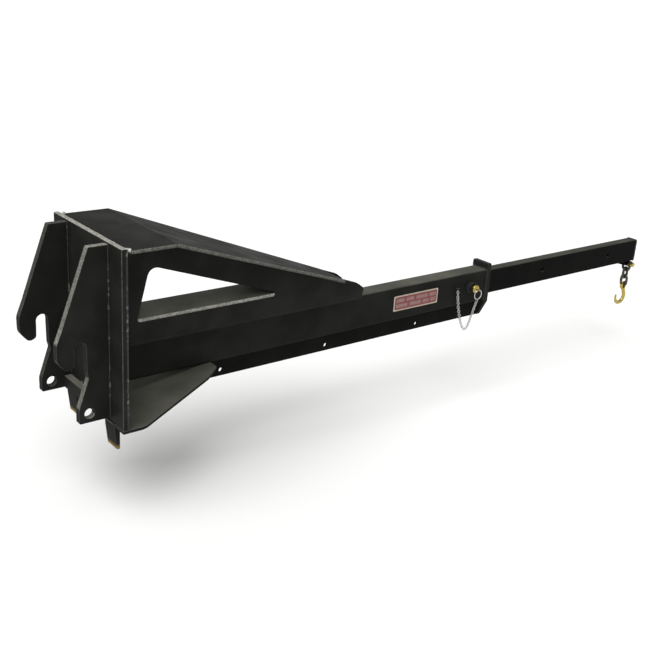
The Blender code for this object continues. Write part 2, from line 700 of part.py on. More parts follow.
def build_lock_pin():
    """Lock pin in its boss, with a domed head, an eye tab and a pull ring."""
    place = (PIN_X, 0.0, PIN_Z)
    boss = outline_part("pin_boss", "XZ",
                        [circle((PIN_X, PIN_Z), 0.030, 32), circle((PIN_X, PIN_Z), PIN_HOLE_R, 32)],
                        BOSS_FACE_Y, BOSS_FACE_Y + BOSS_LENGTH)
    bevel(boss, 0.001)
    head_r = 0.026
    dome = [(head_r * math.cos(a), HEAD_FACE_Y - 0.006 - 0.012 * math.sin(a))
            for a in (math.radians(15 * i) for i in range(0, 7))]
    profile = [(0.0, PIN_TIP_Y), (PIN_R - 0.003, PIN_TIP_Y), (PIN_R, PIN_TIP_Y - 0.003),
               (PIN_R, HEAD_FACE_Y), (head_r, HEAD_FACE_Y)] + dome[:-1] + [(0.0, dome[-1][1])]
    pin = turned("lock_pin", profile, place, AXIS_TURN["Y"], "yellow_zinc", 28)
    tab_outline = rounded([(HEAD_FACE_Y - 0.012, PIN_Z + 0.009, 0.0),
                           (HEAD_FACE_Y - 0.012, PIN_Z - 0.009, 0.0),
                           (TAB_HOLE_Y - 0.009, PIN_Z - 0.009, 0.007),
                           (TAB_HOLE_Y - 0.009, PIN_Z + 0.009, 0.007)])
    tab = outline_part("pin_tab", "YZ", [tab_outline, circle((TAB_HOLE_Y, PIN_Z), 0.005, 16)],
                       PIN_X - 0.003, PIN_X + 0.003, "yellow_zinc", CUTTERS)
    boolean(pin, tab, "UNION")
    ring = [(PIN_X + u, TAB_HOLE_Y, PIN_Z - RING_R + v)
            for u, v in circle((0.0, 0.0), RING_R, 28)]
    wire("pull_ring", ring, RING_WIRE_R, "bright_steel", cyclic=True)


def smooth_route(points, spacing):
    """Points of a smooth curve through a route's own points (Catmull-Rom)."""
    route = [Vector(p) for p in points]
    route = [2 * route[0] - route[1], *route, 2 * route[-1] - route[-2]]
    out = []
    for a, b, c, d in zip(route, route[1:], route[2:], route[3:]):
        steps = max(2, round((c - b).length / spacing))
        for k in range(steps):
            t = k / steps
            out.append(0.5 * (2 * b + (c - a) * t + (2 * a - 5 * b + 4 * c - d) * t * t
                              + (3 * b - a - 3 * c + d) * t ** 3))
    out.append(route[-2])
    return out


CHAIN_ROUTE = [(2.428, -0.070, -0.1905), (2.430, -0.075, -0.240), (2.440, -0.080, -0.310),
               (2.456, -0.086, -0.375), (2.474, -0.091, -0.425), (2.492, -0.096, -0.448),
               (2.508, -0.101, -0.440), (2.520, -0.107, -0.405), (2.530, -0.113, -0.355),
               (2.538, -0.120, -0.305), (2.546, -0.1265, -0.2585)]


def build_keeper():
    """Chain anchor on the box and the keeper chain that hangs from it to the ring."""
    box("chain_anchor", (2.416, -0.076, -0.187), (2.440, -TUBE_HALF_WIDTH - GAP, -0.175),
        edge=0.001)
    wire("keeper_chain", smooth_route(CHAIN_ROUTE, 0.012), 0.003, "bright_steel")


def build_label():
    """Plain label plate with a hole for a rivet in each corner."""
    low, high = (1.905, -0.242), (2.262, -0.148)
    face = -TUBE_HALF_WIDTH - GAP
    radius, inset = 0.006, 0.009
    corners = [(low[0], low[1], radius), (high[0], low[1], radius),
               (high[0], high[1], radius), (low[0], high[1], radius)]
    holes = [circle((x, z), 0.0028, 12) for x in (low[0] + inset, high[0] - inset)
             for z in (low[1] + inset, high[1] - inset)]
    outline_part("label_plate", "XZ", [rounded(corners, 3), *holes], face - 0.002, face,
                 "label_vinyl")


clear_scene()
PARTS = new_collection("telescoping_lifting_jib")
CUTTERS = new_collection("cutters")
build_back_plate()
build_ears()
build_deck()
build_webs()
build_outer_tube()
build_lower_gusset()
build_keel()
build_collar()
build_wear_pads()
build_boom()
build_shackle()
build_hook()
build_lock_pin()
build_keeper()
build_label()
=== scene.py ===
"""Looks of a telescoping lifting jib for a wheel loader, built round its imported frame.

Metres, +Z up. +X runs along the boom to its tip and the near side is -Y, as in the frame.
Plates and box sections are rounded copies of the frame's own nodes. Welds, the keeper chain
and the rivets are Geometry Nodes. The lifting tackle is lofted and blended like forgings.
"""
import json
import logging
import math
from dataclasses import dataclass
from enum import Enum
from typing import Any, Iterable, Sequence

import bmesh
import bpy
from bpy.types import ID, Material, Mesh, Node, NodeSocket, NodeTree, Object
from mathutils import Matrix, Vector


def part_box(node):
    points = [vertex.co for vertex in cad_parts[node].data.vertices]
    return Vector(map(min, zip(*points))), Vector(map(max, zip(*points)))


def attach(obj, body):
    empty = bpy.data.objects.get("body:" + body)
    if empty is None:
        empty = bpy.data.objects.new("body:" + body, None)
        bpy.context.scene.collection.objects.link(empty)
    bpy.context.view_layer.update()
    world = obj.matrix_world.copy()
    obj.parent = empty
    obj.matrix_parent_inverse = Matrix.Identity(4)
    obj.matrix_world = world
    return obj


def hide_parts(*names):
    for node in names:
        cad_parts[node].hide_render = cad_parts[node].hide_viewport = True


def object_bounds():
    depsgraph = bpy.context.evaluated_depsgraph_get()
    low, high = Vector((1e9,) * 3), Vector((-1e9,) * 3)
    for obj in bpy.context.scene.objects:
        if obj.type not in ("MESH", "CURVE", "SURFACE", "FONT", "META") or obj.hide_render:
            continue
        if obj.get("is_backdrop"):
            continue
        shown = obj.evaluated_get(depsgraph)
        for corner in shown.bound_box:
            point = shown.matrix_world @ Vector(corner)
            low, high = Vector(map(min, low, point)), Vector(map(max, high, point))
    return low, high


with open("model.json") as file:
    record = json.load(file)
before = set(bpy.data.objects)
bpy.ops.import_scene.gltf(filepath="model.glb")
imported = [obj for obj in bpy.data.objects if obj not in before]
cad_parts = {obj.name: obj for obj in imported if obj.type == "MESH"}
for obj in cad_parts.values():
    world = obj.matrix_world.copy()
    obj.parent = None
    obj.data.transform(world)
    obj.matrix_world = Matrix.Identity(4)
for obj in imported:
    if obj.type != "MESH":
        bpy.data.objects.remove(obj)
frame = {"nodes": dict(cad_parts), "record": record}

LOG = logging.getLogger("lifting_jib")
MM = 0.001
AXIS_X, AXIS_Y, AXIS_Z = Vector((1, 0, 0)), Vector((0, 1, 0)), Vector((0, 0, 1))
CRISP = math.radians(40)    # an edge that turns more than this stays sharp
CORE = 0.0005               # radius of a turned piece's first ring, which its cap closes
ROUNDED_SHARE = 0.35        # how much of half an eye's thickness its rounded edge takes


# ---- small tools -----------------------------------------------------------------------
def linear(hex_colour: str) -> tuple[float, float, float, float]:
    """Turn an sRGB hex colour into linear RGBA.

    Args:
        hex_colour: colour such as "#1b1b1a".

    Returns:
        Linear red, green, blue and an alpha of 1.
    """
    channels = [int(hex_colour[i:i + 2], 16) / 255 for i in (1, 3, 5)]
    red, green, blue = (c / 12.92 if c <= 0.04045 else ((c + 0.055) / 1.055) ** 2.4
                        for c in channels)
    return red, green, blue, 1.0


def add_node(tree: NodeTree, kind: str,
             inputs: dict[str | int, Any] | None = None, **settings: Any) -> Node:
    """Add a node with its settings, its constant inputs and its links.

    Args:
        tree: material, world or geometry tree.
        kind: Blender's type name of the node.
        inputs: value or source socket for each input, by its name or its number.
        **settings: the node's own properties.

    Returns:
        The new node.
    """
    node = tree.nodes.new(kind)
    for name, value in settings.items():
        setattr(node, name, value)
    for key, value in (inputs or {}).items():
        if isinstance(value, NodeSocket):
            tree.links.new(value, node.inputs[key])
        else:
            node.inputs[key].default_value = value
    return node


def plain_mesh(obj: Object) -> Mesh:
    """Return the evaluated mesh of an object as a mesh of its own."""
    graph = bpy.context.evaluated_depsgraph_get()
    return bpy.data.meshes.new_from_object(obj.evaluated_get(graph), depsgraph=graph)


def link_object(name: str, data: ID) -> Object:
    """Make an object at the origin and link it to the scene."""
    obj = bpy.data.objects.new(name, data)
    bpy.context.scene.collection.objects.link(obj)
    return obj


def drop(obj: Object) -> None:
    """Remove a helper object."""
    bpy.data.objects.remove(obj, do_unlink=True)


class Shapes:
    """Mesh builders that the sub-assemblies share."""

    @staticmethod
    def round_angles(sides: int) -> list[float]:
        """Return evenly spaced angles round a circle."""
        return [2 * math.pi * k / sides for k in range(sides)]

    @staticmethod
    def about(centre: Vector, axis: Vector, radius: float, along: float,
              angle: float) -> Vector:
        """Return the point at a radius, a distance along an axis and an angle round it."""
        first = axis.orthogonal().normalized()
        second = axis.cross(first)
        return (centre + axis * along
                + (first * math.cos(angle) + second * math.sin(angle)) * radius)

    @staticmethod
    def loft(name: str, rings: Sequence[Sequence[Vector]],
             closed: bool = False) -> Mesh:
        """Join rings of equal size into a skin, capped at its ends unless it is closed.

        Args:
            name: name of the mesh.
            rings: rings of points, in order.
            closed: whether the last ring joins the first.

        Returns:
            A smooth-shaded mesh with its faces outwards.
        """
        shape = bmesh.new()
        rows = [[shape.verts.new(point) for point in ring] for ring in rings]
        pairs = list(zip(rows, rows[1:])) + ([(rows[-1], rows[0])] if closed else [])
        for first, second in pairs:
            for i in range(len(first)):
                j = (i + 1) % len(first)
                shape.faces.new((first[i], first[j], second[j], second[i]))
        if not closed:
            shape.faces.new(rows[0][::-1])
            shape.faces.new(rows[-1])
        bmesh.ops.recalc_face_normals(shape, faces=shape.faces)
        mesh = bpy.data.meshes.new(name)
        shape.to_mesh(mesh)
        shape.free()
        mesh.shade_smooth()
        return mesh

    @staticmethod
    def sweep(name: str, path: Sequence[Vector], across: Vector,
              sections: Sequence[tuple[float, float]], closed: bool = False,
              sides: int = 16) -> Mesh:
        """Sweep an oval section along a path that lies in one plane.

        Args:
            name: name of the mesh.
            path: points of the path.
            across: unit normal of the plane of the path.
            sections: half width in the plane and half width across it, one for each point.
            closed: whether the path is a ring.
            sides: points round the section.

        Returns:
            The swept mesh.
        """
        rings = []
        last = len(path) - 1
        for i, (point, (wide, deep)) in enumerate(zip(path, sections)):
            before = path[i - 1] if i or closed else path[0]
            after = path[(i + 1) % len(path)] if i < last or closed else path[last]
            inward = (after - before).normalized().cross(across)
            rings.append([point + inward * wide * math.cos(a) + across * deep * math.sin(a)
                          for a in Shapes.round_angles(sides)])
        return Shapes.loft(name, rings, closed)

    @staticmethod
    def turn(name: str, profile: Sequence[tuple[float, float]], centre: Vector,
             axis: Vector, sides: int = 40) -> Mesh:
        """Turn a profile about an axis.

        Args:
            name: name of the mesh.
            profile: radius and distance along the axis of each ring, none of radius 0.
            centre: the point that distances are measured from.
            axis: unit vector along the axis.
            sides: points round each ring.

        Returns:
            The turned mesh, smooth except at corners.
        """
        rings = [[Shapes.about(centre, axis, radius, along, a)
                  for a in Shapes.round_angles(sides)] for radius, along in profile]
        mesh = Shapes.loft(name, rings)
        mesh.set_sharp_from_angle(angle=CRISP)
        return mesh

    @staticmethod
    def washer(name: str, inner: float, outer: float, half: float, centre: Vector,
               axis: Vector, sides: int = 40) -> Mesh:
        """Make a ring with rounded edges, such as a forged eye.

        Args:
            name: name of the mesh.
            inner: radius of the hole.
            outer: outer radius.
            half: half of the thickness.
            centre: centre of the eye.
            axis: unit vector through the hole.
            sides: points round the eye.

        Returns:
            A closed ring.
        """
        edge = min(half, (outer - inner) / 2) * ROUNDED_SHARE
        section = [(inner, half - edge), (inner + edge, half), (outer - edge, half),
                   (outer, half - edge), (outer, edge - half), (outer - edge, -half),
                   (inner + edge, -half), (inner, edge - half)]
        rings = [[Shapes.about(centre, axis, radius, along, a) for radius, along in section]
                 for a in Shapes.round_angles(sides)]
        return Shapes.loft(name, rings, closed=True)

    @staticmethod
    def joined(name: str, meshes: Iterable[Mesh]) -> Mesh:
        """Put several meshes into one.

        Args:
            name: name of the mesh.
            meshes: the meshes to put together.

        Returns:
            One mesh that holds them all.
        """
        shape = bmesh.new()
        for mesh in meshes:
            shape.from_mesh(mesh)
        made = bpy.data.meshes.new(name)
        shape.to_mesh(made)
        shape.free()
        made.shade_smooth()
        return made

    @staticmethod
    def forged(mesh: Mesh, voxel: float, rounds: int = 4) -> Mesh:
        """Blend joined shapes into one forging with soft fillets.

        Args:
            mesh: closed shapes that run into each other.
            voxel: size of the grid that they are rebuilt on.
            rounds: number of smoothing passes.

        Returns:
            One closed, smooth mesh.
        """
        helper = link_object(mesh.name, mesh)
        remesh = helper.modifiers.new("blend", "REMESH")
        remesh.mode = "VOXEL"
        remesh.voxel_size = voxel
        remesh.use_smooth_shade = True
        soften = helper.modifiers.new("soften", "SMOOTH")
        soften.iterations = rounds
        soften.factor = 0.5
        blended = plain_mesh(helper)
        drop(helper)
        return blended


# ---- finishes --------------------------------------------------------------------------
RELIEF_LEVELS = (0.3, 0.7)  # noise levels of the floor and the top of a relief


@dataclass(frozen=True)
class Ramp:
    """A straight run between two levels of a value, held beyond them."""

    low: float
    high: float
    at_low: float = 0.0
    at_high: float = 1.0

    def of(self, value: NodeSocket) -> dict[str, Any]:
        """Return the inputs that make a Map Range node follow the ramp."""
        return {"Value": value, "From Min": self.low, "From Max": self.high,
                "To Min": self.at_low, "To Max": self.at_high}


class Finish:
    """Base of every finish: makes its material once and hands it out."""

    name: str

    def material(self) -> Material:
        """Return the finish's material, built on first use."""
        if self.name in bpy.data.materials:
            return bpy.data.materials[self.name]
        made = bpy.data.materials.new(self.name)
        made.use_nodes = True
        self.build(made.node_tree, made.node_tree.nodes["Principled BSDF"])
        return made

    def build(self, tree: NodeTree, shader: Node) -> None:
        """Add the finish's nodes to its tree."""
        raise NotImplementedError

    @staticmethod
    def place(tree: NodeTree) -> NodeSocket:
        """Return the object coordinates, in metres."""
        return add_node(tree, "ShaderNodeTexCoord").outputs["Object"]

    @staticmethod
    def blotches(tree: NodeTree, size_mm: float, low: float, high: float,
                 detail: float = 4.0) -> NodeSocket:
        """Add soft blotches of a real size.

        Args:
            tree: tree to add to.
            size_mm: size of a blotch in millimetres.
            low: noise level that gives 0.
            high: noise level that gives 1.
            detail: octaves of the noise.

        Returns:
            A value from 0 to 1.
        """
        noise = add_node(tree, "ShaderNodeTexNoise", {
            "Vector": Finish.place(tree), "Scale": 1000 / size_mm, "Detail": detail})
        return add_node(tree, "ShaderNodeMapRange",
                        Ramp(low, high).of(noise.outputs["Fac"])).outputs["Result"]

    @staticmethod
    def layer(tree: NodeTree, shader: Node, ground: str,
              *layers: tuple[Any, str]) -> None:
        """Lay colours over a ground colour and give the result to the shader.

        Args:
            tree: tree to add to.
            shader: shader that takes the colour.
            ground: hex colour underneath.
            *layers: share and hex colour of each layer on it, lowest first.
        """
        colour = linear(ground)
        for share, over in layers:
            colour = add_node(tree, "ShaderNodeMix", {0: share, 6: colour, 7: linear(over)},
                              data_type="RGBA").outputs[2]
        tree.links.new(colour, shader.inputs["Base Color"])

    @staticmethod
    def dull(tree: NodeTree, shader: Node, pattern: NodeSocket,
             least: float, most: float) -> None:
        """Let the roughness follow a pattern, from its least to its most."""
        rough = add_node(tree, "ShaderNodeMapRange", Ramp(0.0, 1.0, least, most).of(pattern))
        tree.links.new(rough.outputs["Result"], shader.inputs["Roughness"])

    @staticmethod
    def relief(tree: NodeTree, shader: Node, size_mm: float,
               depth_mm: float, detail: float) -> None:
        """Raise the surface in grains of a real size and depth.

        Args:
            tree: tree to add to.
            shader: shader that takes the normal.
            size_mm: size of a grain in millimetres.
            depth_mm: height of a grain in millimetres.
            detail: octaves of the grains.
        """
        made = add_node(tree, "ShaderNodeBump", {
            "Height": Finish.blotches(tree, size_mm, *RELIEF_LEVELS, detail),
            "Distance": depth_mm * MM})
        tree.links.new(made.outputs["Normal"], shader.inputs["Normal"])


@dataclass(frozen=True)
class SatinEnamel(Finish):
    """Satin black enamel sprayed over hot-rolled plate.

    It is nearly black and a little uneven. Dust greys what faces up; on coats where that share
    is raised it is also painted light on upward faces. Handling has worn the edges to a dull
    steel grey in broken lines, and some cut faces have worn bare; these light edge bands are
    also a painted edge highlight, strongest on edges that lean up.
    """

    name: str
    base: str = "#1f1f1e"
    thin: str = "#262624"
    # Dust colour for upward faces, also painted light where its share is raised.
    dust_and_top_light: str = "#74746a"
    # Light edge colour: worn steel and a painted edge highlight.
    rubbed_and_highlit: str = "#b4b3aa"
    dust_and_top_light_share: float = 0.06
    wear_and_highlight_share: float = 0.30
    edge_reach_mm: float = 3.5
    low_edge_share: float = 0.12
    # Bare cut faces; on the back plate's rim and the near ear they are also a painted highlight.
    cut_share: float = 0.0
    cut_levels: tuple[float, float] = (0.50, 0.20)  # steepness that starts and ends bare
    roughness: float = 0.52
    scuffed_below: float | None = None
    scuffed: str = "#8a7340"
    # Kept weak: a stronger reflection of the bright sky turns flat faces grey.
    ior: float = 1.45
    specular_level: float = 0.02

    def wear(self, tree: NodeTree, facing: Node,
             geometry: Node) -> NodeSocket:
        """Find where the edges are worn or carry a painted highlight, and where the cut faces are
        bare.

        Args:
            tree: tree to add to.
            facing: node that gives the parts of the surface normal.
            geometry: node that gives the surface normal.

        Returns:
            A share from 0 to 1.
        """
        rounded = add_node(tree, "ShaderNodeBevel", {"Radius": self.edge_reach_mm * MM},
                           samples=6)
        turn = add_node(tree, "ShaderNodeVectorMath", {
            0: rounded.outputs["Normal"], 1: geometry.outputs["Normal"]},
            operation="DOT_PRODUCT")
        edge = add_node(tree, "ShaderNodeMapRange",
                        Ramp(0.998, 0.93, 0.0, self.wear_and_highlight_share).of(turn.outputs["Value"]))
        steep = add_node(tree, "ShaderNodeMath", {0: facing.outputs["Z"]}, operation="ABSOLUTE")
        cut = add_node(tree, "ShaderNodeMapRange",
                       Ramp(*self.cut_levels, 0.0, self.cut_share).of(steep.outputs[0]))
        bare = add_node(tree, "ShaderNodeMath", {
            0: edge.outputs["Result"], 1: cut.outputs["Result"]}, operation="MAXIMUM")
        leaning = add_node(tree, "ShaderNodeSeparateXYZ", {0: rounded.outputs["Normal"]})
        # Edges that lean up are lighter: a painted highlight where the light falls.
        upward_edge_light = add_node(tree, "ShaderNodeMapRange", Ramp(
            -0.30, 0.40, self.low_edge_share, 1.0).of(leaning.outputs["Z"]))
        broken = add_node(tree, "ShaderNodeMapRange", Ramp(0.0, 1.0, 0.55, 1.0).of(
            self.blotches(tree, 11.0, 0.42, 0.60, 3.0)))
        share = bare.outputs[0]
        for factor in (broken, upward_edge_light):
            share = add_node(tree, "ShaderNodeMath", {0: share, 1: factor.outputs["Result"]},
                             operation="MULTIPLY").outputs[0]
        return share

    def build(self, tree: NodeTree, shader: Node) -> None:
        """Mix the coat, its dusting and painted top light, and the worn and highlit edges."""
        cloud = self.blotches(tree, 160.0, 0.38, 0.62)
        geometry = add_node(tree, "ShaderNodeNewGeometry")
        facing = add_node(tree, "ShaderNodeSeparateXYZ", {0: geometry.outputs["Normal"]})
        # Faces that look up get the dusting, and painted light on coats whose share is raised.
        upward = add_node(tree, "ShaderNodeMapRange",
                          Ramp(0.55, 0.98, 0.0, self.dust_and_top_light_share).of(facing.outputs["Z"]))
        settled = add_node(tree, "ShaderNodeMapRange", Ramp(0.0, 1.0, 0.62, 1.0).of(
            self.blotches(tree, 210.0, 0.34, 0.66)))
        dust_and_top_light = add_node(tree, "ShaderNodeMath", {
            0: upward.outputs["Result"], 1: settled.outputs["Result"]}, operation="MULTIPLY")
        layers = [(cloud, self.thin), (dust_and_top_light.outputs[0], self.dust_and_top_light),
                  (self.wear(tree, facing, geometry), self.rubbed_and_highlit)]
        if self.scuffed_below is not None:
            spot = add_node(tree, "ShaderNodeSeparateXYZ", {0: self.place(tree)})
            low = add_node(tree, "ShaderNodeMapRange", Ramp(
                self.scuffed_below + 0.012, self.scuffed_below - 0.006).of(spot.outputs["Z"]))
            scuffs = add_node(tree, "ShaderNodeMath", {
                0: low.outputs["Result"], 1: settled.outputs["Result"]}, operation="MULTIPLY")
            layers.append((scuffs.outputs[0], self.scuffed))
        self.layer(tree, shader, self.base, *layers)
        self.dull(tree, shader, cloud, self.roughness - 0.05, self.roughness + 0.07)
        shader.inputs["IOR"].default_value = self.ior
        shader.inputs["Specular IOR Level"].default_value = self.specular_level
        self.relief(tree, shader, 9.0, 0.05, 2.0)


@dataclass(frozen=True)
class WeldedSeam(Finish):
    """Weld bead under the same enamel: glossier than plate, its ripples worn bright; on the deck
    seam the light colour is a painted highlight.
    """

    name: str = "enamelled_weld_bead"
    base: str = "#191918"
    rubbed_and_highlit: str = "#a9a89e"
    rubbed_and_highlit_share: float = 0.32

    def build(self, tree: NodeTree, shader: Node) -> None:
        """Mix the coat with broken bright spots."""
        spots = self.blotches(tree, 22.0, 0.50, 0.66, 5.0)
        for factor in (self.blotches(tree, 150.0, 0.42, 0.60, 2.0), self.rubbed_and_highlit_share):
            spots = add_node(tree, "ShaderNodeMath", {0: spots, 1: factor},
                             operation="MULTIPLY").outputs[0]
        self.layer(tree, shader, self.base, (spots, self.rubbed_and_highlit))
        shader.inputs["Roughness"].default_value = 0.38
        shader.inputs["Specular IOR Level"].default_value = 0.35
        self.relief(tree, shader, 4.0, 0.25, 3.0)


@dataclass(frozen=True)
class PlatedSteel(Finish):
    """Zinc plate, plain or yellow: a soft metal shine whose tint drifts from place to place."""

    name: str
    first: str
    second: str
    third: str
    roughness: float = 0.30
    grain_mm: float = 2.5

    def build(self, tree: NodeTree, shader: Node) -> None:
        """Drift between three tints over a fine grain."""
        drift = self.blotches(tree, 14.0, 0.36, 0.62)
        stain = self.blotches(tree, 6.0, 0.52, 0.70)
        self.layer(tree, shader, self.first, (drift, self.second), (stain, self.third))
        self.dull(tree, shader, drift, self.roughness - 0.06, self.roughness + 0.10)
        shader.inputs["Metallic"].default_value = 1.0
        self.relief(tree, shader, self.grain_mm, 0.06, 3.0)


@dataclass(frozen=True)
class ForgedSteel(Finish):
    """Drop-forged, oiled carbon steel: dark scale with browner pits and a dull shine."""

    name: str = "oiled_forged_steel"
    scale: str = "#57564a"
    pits: str = "#33302a"

    def build(self, tree: NodeTree, shader: Node) -> None:
        """Mix scale and pits over a rough hammered surface."""
        pits = self.blotches(tree, 5.0, 0.42, 0.62, 5.0)
        self.layer(tree, shader, self.scale, (pits, self.pits))
        self.dull(tree, shader, pits, 0.36, 0.62)
        shader.inputs["Metallic"].default_value = 0.85
        self.relief(tree, shader, 3.0, 0.20, 4.0)


@dataclass(frozen=True)
class PrintedVinyl(Finish):
    """Printed vinyl film on a thin plate: flat colour with a weak gloss and fine rubbing."""

    name: str
    ink: str
    faded: str

    def build(self, tree: NodeTree, shader: Node) -> None:
        """Fade the ink in soft patches."""
        faded = self.blotches(tree, 30.0, 0.40, 0.68)
        self.layer(tree, shader, self.ink, (faded, self.faded))
        self.dull(tree, shader, faded, 0.38, 0.52)
        self.relief(tree, shader, 7.0, 0.03, 2.0)


@dataclass(frozen=True)
class MilledPlastic(Finish):
    """Milled high-density polyethylene: waxy off-white with tool marks along its length."""

    name: str = "milled_polyethylene"
    body: str = "#c9c6b6"
    soiled: str = "#8d897a"

    def build(self, tree: NodeTree, shader: Node) -> None:
        """Soil the plastic lightly and mark it with the cutter's passes."""
        soil = self.blotches(tree, 18.0, 0.45, 0.70)
        self.layer(tree, shader, self.body, (soil, self.soiled))
        shader.inputs["Roughness"].default_value = 0.55
        marks = add_node(tree, "ShaderNodeTexWave", {
            "Vector": self.place(tree), "Scale": 160.0, "Distortion": 0.6})
        made = add_node(tree, "ShaderNodeBump", {
            "Height": marks.outputs["Fac"], "Distance": 0.05 * MM})
        tree.links.new(made.outputs["Normal"], shader.inputs["Normal"])


class Coat(Enum):
    """The finishes of the jib, by what they cover."""

    PLATE = SatinEnamel("satin_enamel_on_plate")
    WEB = SatinEnamel("satin_enamel_on_web", wear_and_highlight_share=0.12)
    # Back plate: its light top rim is partly worn bare and partly a painted highlight.
    RUBBED_HIGHLIT_PLATE = SatinEnamel("satin_enamel_rubbed_and_highlit_rim", wear_and_highlight_share=0.75, edge_reach_mm=5.0,
                               cut_share=0.85, cut_levels=(0.15, 0.40))
    # The near ear has lighter cut faces than the far ear: partly bare steel, partly a painted
    # highlight on the side the light falls on.
    NEAR_EAR = SatinEnamel("satin_enamel_rubbed_and_highlit_ear", wear_and_highlight_share=0.35, cut_share=0.60,
                           cut_levels=(0.20, 0.40))
    FAR_EAR = SatinEnamel("satin_enamel_on_ear", wear_and_highlight_share=0.30, cut_share=0.12,
                          cut_levels=(0.20, 0.40))
    # Darker base than the other plates: partly the deck's paint, partly painted shade on its broad
    # top.
    DECK = SatinEnamel("satin_enamel_on_deck", base="#121212", thin="#191918",
                       wear_and_highlight_share=0.60, cut_share=0.55)
    # Tie, gusset and box tube: extra dusting on faces that look up, partly real and partly painted
    # light on their tops; the tie's wide light edges are partly a painted highlight.
    TIE = SatinEnamel("satin_enamel_dust_and_painted_light_plate", dust_and_top_light="#8c8c80", wear_and_highlight_share=0.95,
                      edge_reach_mm=8.0, dust_and_top_light_share=1.0, low_edge_share=0.7, cut_share=0.9)
    GUSSET = SatinEnamel("satin_enamel_on_gusset", wear_and_highlight_share=0.25, dust_and_top_light_share=0.80)
    TUBE = SatinEnamel("satin_enamel_on_box_tube", base="#1c1c1b", thin="#222220",
                       dust_and_top_light_share=0.50, wear_and_highlight_share=0.10, roughness=0.46)
    INNER_TUBE = SatinEnamel("satin_enamel_on_inner_tube", base="#0c0c0c", thin="#121211",
                             dust_and_top_light_share=0.30, wear_and_highlight_share=0.15, roughness=0.46)
    # Darker base and few light edges: painted shade on the keel, which sits in the shadow under the
    # tube.
    SHADED_KEEL = SatinEnamel("satin_enamel_on_keel", base="#121211", thin="#181817",
                       wear_and_highlight_share=0.05)
    TOE = SatinEnamel("satin_enamel_scuffed_toe", wear_and_highlight_share=0.5, scuffed_below=-0.520)
    SEAM = WeldedSeam()
    # Frame and boss welds keep few light spots and stay dark, partly painted shade for the seams
    # under the tube.
    QUIET_SEAM = WeldedSeam("enamelled_boom_weld", rubbed_and_highlit_share=0.08)
    # Near-white bead at the deck's rear corners: partly ground weld, partly a painted highlight.
    GROUND_SEAM_HIGHLIGHT = WeldedSeam("ground_weld_bead_painted_highlight", base="#a5a49d", rubbed_and_highlit="#ecebe4",
                             rubbed_and_highlit_share=0.95)
    YELLOW_ZINC = PlatedSteel("yellow_zinc_plate", "#c2ab58", "#a9a15c", "#c08f55")
    BRIGHT_ZINC = PlatedSteel("bright_zinc_plate", "#cfcfca", "#b9bab6", "#a2a19a", 0.26, 1.5)
    FORGED = ForgedSteel()
    LABEL_BORDER = PrintedVinyl("cream_printed_vinyl", "#ada392", "#9c927f")
    LABEL_PANEL = PrintedVinyl("red_printed_vinyl", "#70242a", "#763136")
    LABEL_BAR = PrintedVinyl("rose_printed_vinyl", "#86645e", "#7a5853")
    PAD = MilledPlastic()

    def material(self) -> Material:
        """Return the material of this finish."""
        return self.value.material()


# ---- handing pieces to the frame -------------------------------------------------------
class Fitter:
    """Knows which body and slot each node has, and hands finished pieces to the frame."""

    def __init__(self, record: dict[str, Any]) -> None:
        """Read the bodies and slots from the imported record.

        Args:
            record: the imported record.
        """
        bodies = record["behaviour"]["bodies"]
        self.body_of = {node: body for body, nodes in bodies.items() for node in nodes}
        self.slot_of = {row["node"]: row["material_slot"] for row in record["subparts"]}

    def fit(self, name: str, mesh: Mesh, coat: Coat, like: str,
            stands_for: Sequence[str] = ()) -> Object:
        """Make a piece from a finished mesh and let it ride with a node's body.

        Args:
            name: name of the piece.
            mesh: finished mesh, in place.
            coat: its finish.
            like: node whose body it shares.
            stands_for: nodes that it is shown instead of.

        Returns:
            The piece.
        """
        piece = link_object(name, mesh)
        mesh.materials.clear()
        mesh.materials.append(coat.material())
        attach(piece, self.body_of[like])
        if stands_for:
            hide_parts(*stands_for)
        LOG.info("%s rides on %s, finish %s", name, self.body_of[like], coat.value.name)
        return piece


